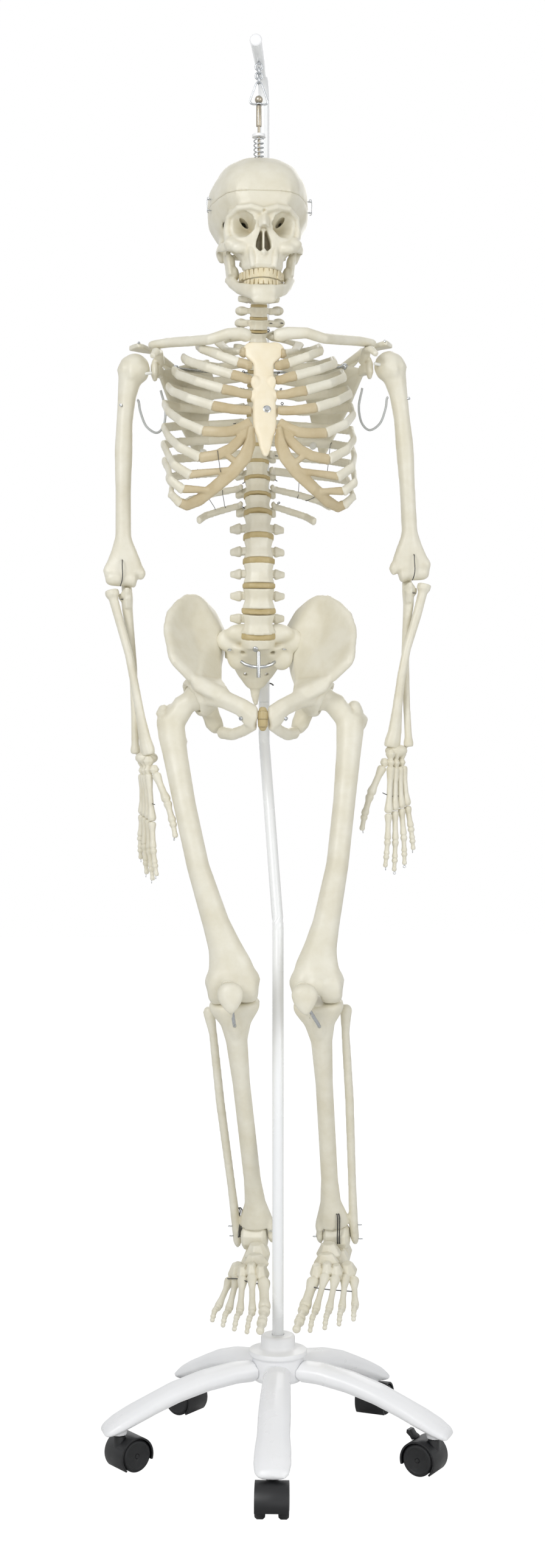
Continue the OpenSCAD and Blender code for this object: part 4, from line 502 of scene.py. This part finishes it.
for node, passes, swell_mm in (
        ("hip_bones", 14, 0.9), ("lumbar_vertebrae", 10, 0.7), ("thoracic_vertebrae", 4, 0.2),
        ("sternum", 9, 0.3), ("lower_discs", 14, 0.6), ("upper_discs", 10, 0.4), ("clavicles", 8, 0.4),
        ("mandible", 4, 0.2),
        *((f"{bone}_{hand}", *how) for hand in ("right", "left") for bone, *how in (
            ("femur", 34, 1.7), ("humerus", 28, 1.3), ("lower_leg", 8, 0.7), ("ulna", 6, 0.3),
            ("radius", 6, 0.3)))):
    pick(casts[node])
    soften(casts[node], lambda c: 1.0, passes)
    plump(casts[node], swell_mm)
for node in ("skull", "skull_cap"):
    pick(casts[node])
    soften(casts[node], dome, 110)
print("dome softened above", round(cut, 4))

# %% Jaw and cheeks
pick(casts["mandible"])
chin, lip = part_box("mandible")[0].z, cut - 0.144
soften(casts["mandible"], lambda c: (lip - c.z) / 0.006, 30)
shift(casts["mandible"], lambda c: ramp(from_middle(c), 0.016, 0.032) * (chin + 0.065 - c.z) / 0.065, 24)
soften(casts["mandible"], lambda c: (chin + 0.048 - c.z) / 0.012, 40)
plump(casts["mandible"], 0.5)

pick(casts["skull"])
bulges = [in_skull(side * x, y, z) for side in (-1, 1)
          for x, y, z in ((35, -76, -20), (46, -70, -12), (50, -52, 14))]
soften(casts["skull"], lambda c: 1.6 - min((c - b).length for b in bulges) / 0.013, 36)
print("jaw from", round(chin, 4), "with", len(bulges), "bulges of the face softened")

# %% Hips and legs
# Heights in metres: where the hip bones' wings begin, the ends of a thigh and its outer knob, the
# shin's head and the kneecap.
wing_z, knee_end_z, hip_end_z, knob_z, shin_head_z, kneecap_z = 1.150, 0.80, 1.03, 1.075, 0.60, 0.63
pick(casts["hip_bones"])
soften(casts["hip_bones"], lambda c: (c.z - wing_z) / 0.02, 60)
for hand in ("right", "left"):
    femur, shin = casts[f"femur_{hand}"], casts[f"lower_leg_{hand}"]
    pick(femur)
    soften(femur, lambda c: max((knee_end_z - c.z) / 0.04, (c.z - hip_end_z) / 0.03), 16)
    shift(femur, lambda c: ramp(from_middle(c), 0.122, 0.014) * (c.z - knob_z) / 0.03, -15)
    pick(shin)
    soften(shin, lambda c: (c.z - shin_head_z) / 0.03, 10)
    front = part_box(f"lower_leg_{hand}")[0].y
    shift(shin, lambda c: (front + 0.019 - c.y) / 0.003 if c.z > kneecap_z else 0, -11)
pick(casts["sacrum"])
soften(casts["sacrum"], lambda c: (from_middle(c) - 0.006) / 0.012, 36)
print("hips and legs softened, left kneecap's front at", round(front, 4))

# %% Spine
def between_discs(c, half_x):
    """1 halfway between two discs, 0 beside the vertebra bodies."""
    if from_middle(c) < half_x:
        for low, high in zip(levels, levels[1:]):
            if low < c.z < high:
                return 1 - (2 * (c.z - low) / (high - low) - 1) ** 2
    return 0


# The height of every disc: a step of more than 6 mm between points begins the next one.
heights = sorted(v.co.z for node in ("upper_discs", "lower_discs") for v in nodes[node].data.vertices)
levels = [[heights[0]]]
for z in heights:
    if z - levels[-1][-1] > 0.006:
        levels.append([])
    levels[-1].append(z)
levels = [(min(g) + max(g)) / 2 for g in levels]
for node, thicker_mm in (("upper_discs", 0.9), ("lower_discs", 1.5)):
    pick(casts[node])
    for way in (1, -1):
        shift(casts[node], lambda c: way * (c.z - min(levels, key=lambda z: abs(z - c.z))) / 0.0008,
              way * thicker_mm)
for node, half_x, depth_mm, passes in (
        ("lumbar_vertebrae", 0.025, 2.4, 30), ("thoracic_vertebrae", 0.022, 1.2, 12),
        ("cervical_vertebrae", 0.016, 1.2, 14)):
    pick(casts[node])
    soften(casts[node], lambda c: (from_middle(c) - half_x - 0.002) / 0.008, passes)
    if node == "lumbar_vertebrae":
        shift(casts[node], lambda c: (from_middle(c) - 0.029) / 0.006, -1.6, "NORMAL")
    shift(casts[node], lambda c: between_discs(c, half_x), -depth_mm, "NORMAL")
print(len(levels), "discs from", round(levels[0], 3), "to", round(levels[-1], 3))

# %% Eye sockets
for px, py, slant in ((401, 367, 38), (460, 366, -38)):
    way = ray(px, py)
    at = casts["skull"].ray_cast(camera_at, way)[1]
    bpy.ops.object.select_all(action="DESELECT")
    bpy.ops.mesh.primitive_uv_sphere_add(
        segments=20, ring_count=12, radius=1, location=at, scale=(0.0088, 0.020, 0.0036),
        rotation=(0, math.radians(slant), turn))
    cutter = bpy.context.object
    bpy.ops.object.transform_apply(location=True, rotation=True, scale=True)
    pick(casts["skull"])
    cleft = casts["skull"].modifiers.new("cleft", "BOOLEAN")
    cleft.operation = "DIFFERENCE"
    cleft.object = cutter
    bpy.ops.object.modifier_apply(modifier=cleft.name)
    bpy.data.objects.remove(cutter)
bpy.ops.object.shade_smooth()
print("skull cast,", len(casts["skull"].data.polygons), "faces")

# %% [markdown]
# ## The stand
# Tubes, wheels and turned pieces are right as they are, so their copies are only merged, get a fine
# rounded edge where faces meet sharply, and are shaded by angle. The moulded legs and the hub are
# soft shapes, and are cast again as the bones are.

# %% Stand pieces
def dress(node, edge_mm):
    """A merged copy of a CAD node with rounded edges."""
    made = bpy.data.objects.new(node + "_dressed", nodes[node].data.copy())
    scene.collection.objects.link(made)
    pick(made)
    bpy.ops.object.mode_set(mode="EDIT")
    bpy.ops.mesh.select_all(action="SELECT")
    bpy.ops.mesh.remove_doubles(threshold=0.000005)
    bpy.ops.mesh.dissolve_limited(angle_limit=math.radians(0.5))
    bpy.ops.object.mode_set(mode="OBJECT")
    round_off = made.modifiers.new("edge", "BEVEL")
    round_off.width = edge_mm / 1000
    round_off.segments = 2
    round_off.limit_method = "ANGLE"
    round_off.angle_limit = math.radians(40)
    round_off.use_clamp_overlap = True
    bpy.ops.object.modifier_apply(modifier=round_off.name)
    bpy.ops.object.shade_smooth_by_angle(angle=math.radians(38))
    stand_in(made, node)
    return made


for node, voxel_mm, rounds in (("base_legs", 2.0, 6), ("base_hub", 1.5, 1), ("pole_cap", 0.8, 1)):
    casts[node] = cast(node, voxel_mm, rounds)
pick(casts["base_legs"])
soften(casts["base_legs"], lambda c: 1.0, 14)
for node in ("pole_lower", "pole_upper", "brake_lever", "hanger_washer", "hanger_rod", "eye_screw",
             "chain", "scapula_rod", "pelvis_bracket",
             *(f"caster_{kind}_{k}" for kind in ("fork", "wheels") for k in range(1, 6))):
    casts[node] = dress(node, 0.5 if "caster" in node else 0.3)
casts["hanger_ring"] = cast("hanger_ring", 0.5, 1)
print("stand dressed,", sum(len(c.data.polygons) for c in casts.values()), "faces in all")

# %% [markdown]
# ## Wires
# Every wire on the model is drawn along a few bends. A curve with a round section does that, and is
# made a mesh when its bends are right. The suspension spring follows the solid's line with more
# points.

# %% Spring and wires
def wire(name, routes, thick_mm, body, look="plated_steel"):
    """Round wire along one or more routes of points in metres."""
    bpy.ops.object.select_all(action="DESELECT")
    bpy.ops.curve.primitive_bezier_curve_add(location=(0, 0, 0))
    made = bpy.context.object
    made.name = name
    line = made.data
    line.splines.clear()
    for route in routes:
        spline = line.splines.new("BEZIER")
        spline.bezier_points.add(len(route) - 1)
        for bend, point in zip(spline.bezier_points, route):
            bend.co = point
            bend.handle_left_type = bend.handle_right_type = "AUTO"
        spline.resolution_u = 5
    line.dimensions = "3D"
    line.bevel_depth = thick_mm / 2000
    line.bevel_resolution = 3
    line.use_fill_caps = True
    bpy.ops.object.convert(target="MESH")
    made = bpy.context.object
    bpy.ops.object.shade_smooth()
    made.data.materials.clear()
    made.data.materials.append(finish[look])
    if body:
        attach(made, body)
    return made


low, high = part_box("hanger_spring")
axis = (low + high) / 2
radius = (high.x - low.x) / 2 - 0.0009
turns, steps = 5, 16
foot, top = low.z + 0.0018, high.z - 0.0018
coil = [Vector((axis.x + radius * math.cos(2 * math.pi * i / steps),
                axis.y + radius * math.sin(2 * math.pi * i / steps),
                foot + (top - foot) * i / (turns * steps))) for i in range(turns * steps + 1)]
spring = wire("suspension_spring", [coil], 1.8, "skull")
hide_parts("hanger_spring")
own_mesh(spring)
print("spring of", turns, "turns,", round((high.z - low.z) * 1000, 1), "mm high")

# %% [markdown]
# ## Shoulder cords
# A clear elastic cord hangs in a loop from each shoulder blade to the upper arm. It follows the
# same bends as its solid and is 3.6 mm thick.

# %% Cords
def through(points, steps):
    """Points of a smooth curve through the given ones."""
    found = []
    for k in range(steps + 1):
        x = k * (len(points) - 1) / steps
        i = min(int(x), len(points) - 2)
        t = x - i
        a, b, c, d = (points[max(i - 1, 0)], points[i], points[i + 1], points[min(i + 2, len(points) - 1)])
        found.append(0.5 * (2 * b + (c - a) * t + (2 * a - 5 * b + 4 * c - d) * t * t
                            + (3 * b - a - 3 * c + d) * t ** 3))
    return found


cord_routes = {
    "right": [(-0.1702, 0.04, 1.5623), (-0.1691, 0.04, 1.5583), (-0.1634, 0.04, 1.5345),
              (-0.1657, 0.035, 1.5104), (-0.1764, 0.03, 1.4981), (-0.1916, 0.026, 1.5067),
              (-0.2002, 0.022, 1.5265), (-0.203, 0.02, 1.5414), (-0.2053, 0.0194, 1.5437)],
    "left": [(0.1297, 0.04, 1.5707), (0.1288, 0.04, 1.5667), (0.1245, 0.04, 1.5425),
             (0.1281, 0.035, 1.5186), (0.1395, 0.03, 1.5069), (0.1542, 0.026, 1.5164),
             (0.1617, 0.022, 1.5366), (0.1636, 0.02, 1.5516), (0.1658, 0.0194, 1.5541)],
}
for hand, points in cord_routes.items():
    path = through([Vector(p) for p in points], 44)
    cord = wire(f"shoulder_loop_{hand}", [path], 3.6, None, "cord")
    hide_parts(f"shoulder_cord_{hand}")
    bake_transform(cord)

# %% [markdown]
# ## Small fittings
# Eyelets, pins and bolts are too small for the solids. Each is found on its bone: a ray goes from the
# camera through the fitting's place in the picture, and where it meets the casting, the fitting
# stands on the surface there. If the bone is narrower than in the picture, nearby rays are tried.

# %% Places and fittings
bpy.context.view_layer.update()


def spot(px, py, *names, behind=camera_at.y):
    """Point and normal where the ray through a pixel first meets one of the castings, from a depth on."""
    for reach in range(0, 40, 2):
        for k in range(1 if reach == 0 else 12):
            way = ray(px + reach * math.cos(k * math.pi / 6), py + reach * math.sin(k * math.pi / 6))
            start = camera_at + way * ((behind - camera_at.y) / way.y)
            found = [(casts[n].ray_cast(start, way), n) for n in names]
            found = [(r[1], r[2], n) for r, n in found if r[0]]
            if found:
                return min(found, key=lambda f: (f[0] - camera_at).length)
    raise ValueError(f"no casting of {names} near pixel {px}, {py}")


def across(n):
    """A level direction across a normal."""
    side = n.cross(Vector((0, 0, 1)))
    if side.length < 0.1:
        side = n.cross(Vector((1, 0, 0)))
    side.normalize()
    return side


def stud(name, at, normal, wide_mm, tall_mm, body, look, sides=20):
    """A turned head with a rounded rim and a sunk drive, set 1 mm into the surface that holds it."""
    bpy.ops.object.select_all(action="DESELECT")
    bpy.ops.mesh.primitive_cylinder_add(vertices=sides, radius=wide_mm / 2000, depth=(tall_mm + 1) / 1000)
    made = bpy.context.object
    made.name = name
    bpy.ops.object.mode_set(mode="EDIT")
    bpy.ops.mesh.select_mode(type="FACE")
    bpy.ops.mesh.select_all(action="DESELECT")
    bpy.ops.object.mode_set(mode="OBJECT")
    for face in made.data.polygons:
        face.select = face.normal.z > 0.9
    bpy.ops.object.mode_set(mode="EDIT")
    bpy.ops.mesh.bevel(offset=wide_mm / 6000, segments=3, affect="EDGES")
    bpy.ops.mesh.inset(thickness=wide_mm / 14000)
    bpy.ops.mesh.inset(thickness=wide_mm / 9000, depth=-tall_mm / 5000)
    bpy.ops.object.mode_set(mode="OBJECT")
    n = Vector(normal).normalized()
    upright = n.to_track_quat("Z", "Y").to_matrix().to_4x4()
    made.matrix_world = Matrix.Translation(Vector(at) + n * (tall_mm - 1) / 2000) @ upright
    bpy.ops.object.transform_apply(location=True, rotation=True, scale=True)
    bpy.ops.object.shade_smooth_by_angle(angle=math.radians(35))
    made.data.materials.append(finish[look])
    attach(made, body)


def loop(at, normal, wide_mm, stand_mm=1.0):
    """Route of a screw eye: a shank out of the bone, then once round."""
    n = Vector(normal).normalized()
    side = across(n)
    r = wide_mm / 2000
    centre = Vector(at) + n * (r + stand_mm / 1000)
    angles = [i * math.pi / 5 for i in range(10)]
    ring = [centre + (-n * math.cos(a) + side * math.sin(a)) * r for a in angles]
    return [Vector(at) - n * 0.002, Vector(at) + n * stand_mm / 2000, *ring, ring[0]]


# The bolt through the breastbone, on a plain washer.
at, normal, _ = spot(439, 672, "sternum")
stud("breastbone_washer", at, normal, 11, 1.0, "trunk", "plated_steel", 28)
stud("breastbone_bolt", at + normal * 0.001, normal, 7.6, 3.4, "trunk", "plated_steel", 24)

# Screw eyes along the spine, where wires tie the ribs to the vertebrae.
eyes = [(380, 638), (398, 640), (383, 670), (397, 669), (387, 696), (400, 693), (463, 664), (460, 638),
        (398, 592), (399, 613), (460, 613), (453, 749), (471, 759), (401, 792), (457, 791), (459, 825),
        (398, 832), (386, 730), (375, 538), (393, 537), (391, 545), (445, 531), (461, 531), (441, 546)]
routes = []
for px, py in eyes:
    at, normal, _ = spot(px, py, "ribs", "thoracic_vertebrae", "cervical_vertebrae")
    routes.append(loop(at, normal, 3.4))
wire("rib_eyes", routes, 1.1, "trunk", "dark_steel")

# Thin wires that tie the free ribs to the ones above. If one end falls on the front of the cage and
# the other on its back, both are looked for at the back.
ties = [((358, 741), (363, 775)), ((323, 771), (325, 786)), ((344, 819), (352, 836)),
        ((366, 806), (371, 834)), ((494, 774), (489, 826)), ((520, 803), (504, 824)),
        ((545, 728), (537, 775))]
routes = []
for a, b in ties:
    p, n, _ = spot(*a, "ribs", "costal_cartilage")
    q, m, _ = spot(*b, "ribs", "costal_cartilage")
    if abs(p.y - q.y) > 0.04:
        back = max(p.y, q.y) - 0.03
        (p, n, _), (q, m, _) = (spot(*end, "ribs", behind=back) for end in (a, b))
    between = (p + q) / 2 + (n + m) * 0.0012
    routes.append([p - n * 0.001, p + n * 0.001, between, q + m * 0.001, q - m * 0.001])
wire("rib_ties", routes, 0.9, "trunk", "dark_steel")

# White nylon buttons on the inside of the ribs, and pegs at the shoulder sockets.
for name, px, py in (("right", 332, 743), ("left", 515, 732)):
    at, normal, _ = spot(px, py, "ribs")
    stud(f"rib_button_{name}", at, normal, 10.5, 5.0, "trunk", "white_peg", 24)
for name, px, py, side in (("right", 240, 614, 1), ("left", 624, 599, -1)):
    at = spot(px, py, f"humerus_{name}")[0]
    stud(f"shoulder_peg_{name}", at, (side, -0.25, 0.12), 4.6, 9.0, f"humerus_{name}", "white_peg", 20)
for name, px, py in (("right", 228, 564), ("left", 633, 545)):
    at, normal, _ = spot(px, py, "scapulae")
    stud(f"shoulder_tip_pin_{name}", at, normal, 3.6, 2.4, "trunk", "plated_steel", 14)
for name, px, py in (("right", 200, 666), ("left", 671, 653)):
    at, normal, _ = spot(px, py, f"humerus_{name}")
    stud(f"arm_pin_{name}", at, normal, 4.2, 4.0, f"humerus_{name}", "plated_steel", 14)
print("chest fittings done")

# %% [markdown]
# Two small hooks hold the skull cap: on each side one screw eye stands below the saw cut and one
# above it, and a bent wire on the lower eye catches the upper one. Rays from the side find the bone.

# %% Cap hooks and pole pin
middle = (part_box("skull_cap")[0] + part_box("skull_cap")[1]) / 2
for name, side in (("right", -1), ("left", 1)):
    inward = Vector((-side, 0, 0))
    start = Vector((middle.x + side * 0.2, middle.y - 0.012, cut))
    below = casts["skull"].ray_cast(start - Vector((0, 0, 0.009)), inward)[1]
    above = casts["skull_cap"].ray_cast(start + Vector((0, 0, 0.007)), inward)[1]
    out = -inward
    wire(f"cap_lower_eye_{name}", [loop(below, out, 4.4, 1.4)], 1.2, "skull")
    wire(f"cap_upper_eye_{name}", [loop(above, out, 4.4, 1.4)], 1.2, "skull_cap")
    a, b = below + out * 0.0036, above + out * 0.0036
    wire(f"cap_hook_{name}", [[
        a + Vector((0, 0.0012, -0.0034)), a + out * 0.0022 - Vector((0, 0, 0.0026)),
        a + out * 0.0026 + Vector((0, 0, 0.003)), b + out * 0.0026,
        b + out * 0.001 + Vector((0, 0, 0.0036)), b - out * 0.0012 + Vector((0, -0.001, 0.0016))]],
         1.1, "skull")
at = spot(450, 1118, "pole_upper")[0]
side_hit = casts["pole_upper"].ray_cast(Vector((0.3, at.y + 0.004, at.z)), Vector((-1, 0, 0)))[1]
wire("pole_set_pin", [[side_hit - Vector((0.002, 0, 0)), side_hit + Vector((0.003, 0, -0.001)),
                       side_hit + Vector((0.0065, 0, -0.0035))]], 2.2, "stand", "dark_steel")
print("cap hooks at", round(cut, 4), "pin at", [round(v, 3) for v in side_hit])

# %% [markdown]
# Below the chest the fittings are wire again: a hook in front of each elbow, screws and eyes on the
# pelvis, a steel rod under each kneecap, a double rod in front of each ankle, rings beside the
# ankles, wires through palms and feet, and an eye at each fingertip.

# %% Arms and hands
def tips(piece, count):
    """Lowest point of each loose part of a casting with the way it points, the largest parts first."""
    mesh = piece.data
    root = list(range(len(mesh.vertices)))

    def find(i):
        while root[i] != i:
            root[i] = root[root[i]]
            i = root[i]
        return i

    for edge in mesh.edges:
        a, b = (find(v) for v in edge.vertices)
        root[a] = b
    parts = {}
    for v in mesh.vertices:
        parts.setdefault(find(v.index), []).append(v.co.copy())
    found = []
    for part in sorted(parts.values(), key=len, reverse=True)[:count]:
        end = min(part, key=lambda c: c.z)
        near = [c for c in part if (c - end).length < 0.014]
        centre = sum(near, Vector()) / len(near)
        found.append((end, (end - centre).normalized()))
    return found


for hand in ("right", "left"):
    elbow, wrist, knuckles = (joint_at[f"{j}_{hand}"] for j in ("elbow", "wrist", "fingers"))
    row = next(Vector(j["axis"]) for j in frame["joints"] if j["name"] == f"fingers_{hand}")
    wire(f"finger_eyes_{hand}", [loop(p, n, 3.6, 0.4) for p, n in tips(casts[f"fingers_{hand}"], 4)], 1.0,
         f"fingers_{hand}")
    wire(f"thumb_eye_{hand}", [loop(p, n, 3.2, 0.2) for p, n in tips(casts[f"hand_{hand}"], 1)], 1.0,
         f"hand_{hand}")
    up = (wrist - knuckles).normalized()
    base = knuckles + up * 0.016
    wire(f"palm_wire_{hand}", [[
        base + row * 0.024, base + row * 0.012 + up * 0.001, base, base - row * 0.012 + up * 0.002,
        base - row * 0.023 + up * 0.006]], 1.3, f"hand_{hand}", "dark_steel")
    front = Vector((0, -1, 0))
    a, b = (casts[f"{bone}_{hand}"].ray_cast(elbow + Vector((0, -0.3, z)), -front)[1]
            for bone, z in (("humerus", 0.026), ("ulna", -0.030)))
    wire(f"elbow_hook_{hand}", [[
        a - front * 0.003, a + front * 0.003, a + front * 0.006 - Vector((0, 0, 0.008)),
        (a + b) / 2 + front * 0.008, (a + b) / 2 + front * 0.006 - Vector((0.003, 0, 0.010))]],
         1.5, f"humerus_{hand}", "dark_steel")
    wire(f"elbow_eye_{hand}", [loop(b, front, 4.2, 0.6)], 1.3, f"ulna_{hand}", "dark_steel")
print("hand fittings done")

# %% Pelvis, knees and feet
at, normal, _ = spot(420, 1066, "pelvis_bracket", "sacrum")
stud("bracket_bolt", at, normal, 8.0, 3.0, "pelvis", "plated_steel", 24)
wire("sacrum_eyes", [loop(*spot(px, 1066, "sacrum")[:2], 5.4) for px in (378, 465)], 1.5, "pelvis")
for name, px in (("right", 397), ("left", 471)):
    at, normal, _ = spot(px, 1180, "hip_bones")
    stud(f"pubis_screw_{name}", at, normal, 6.0, 3.2, "pelvis", "plated_steel", 18)
knee_rods = {"right": [(-0.0753, -0.0966, 0.6741), (-0.0681, -0.0621, 0.6373), (-0.0666, -0.0526, 0.6346)],
             "left": [(0.0315, -0.0874, 0.6701), (0.0544, -0.0552, 0.6343), (0.0559, -0.0456, 0.6316)]}
ankles = {"right": ((393, 1983), (393, 2031), ((368, 2014), (366, 2030), (444, 2022))),
          "left": ((555, 1995), (557, 2042), ((588, 2012), (591, 2034), (513, 2031)))}
foot_wires = {"right": ((365, 2102), (395, 2103), (419, 2110), (438, 2109)),
              "left": ((497, 2113), (523, 2118), (552, 2121), (580, 2123))}
for hand in ("right", "left"):
    leg, sole = f"lower_leg_{hand}", f"foot_{hand}"
    rod = [Vector(p) for p in knee_rods[hand]]
    wire(f"kneecap_rod_{hand}", [[rod[0], (rod[0] + rod[1]) / 2, rod[1], rod[2]]], 5.2, leg)
    top, bottom, rings = ankles[hand]
    p, n, _ = spot(*top, leg)
    q, m, _ = spot(*bottom, sole, leg)
    fall = q - p
    pair = []
    for apart in (-0.0015, 0.0015):
        s = Vector((apart, 0, 0))
        pair.append([p - n * 0.002 + s, p + n * 0.002 + s, p + n * 0.003 + fall * 0.3 + s,
                     q + m * 0.003 - fall * 0.2 + s, q + m * 0.002 + s, q - m * 0.002 + s])
    wire(f"ankle_rod_{hand}", pair, 2.0, leg, "dark_steel")
    eyes = []
    for px, py in rings:
        at = spot(px, py, leg)[0]
        out = Vector((1 if at.x > joint_at[f"ankle_{hand}"].x else -1, -0.15, 0)).normalized()
        far = casts[leg].ray_cast(at + out * 0.2, -out)
        eyes.append(loop(far[1] if far[0] else at, out, 5.4, 0.8))
    wire(f"ankle_rings_{hand}", eyes, 1.2, leg)
    route = [spot(px, py, sole)[0] + Vector((0, 0.005, 0)) for px, py in foot_wires[hand]]
    wire(f"foot_wire_{hand}", [route], 1.7, sole, "dark_steel")
print("leg fittings done")
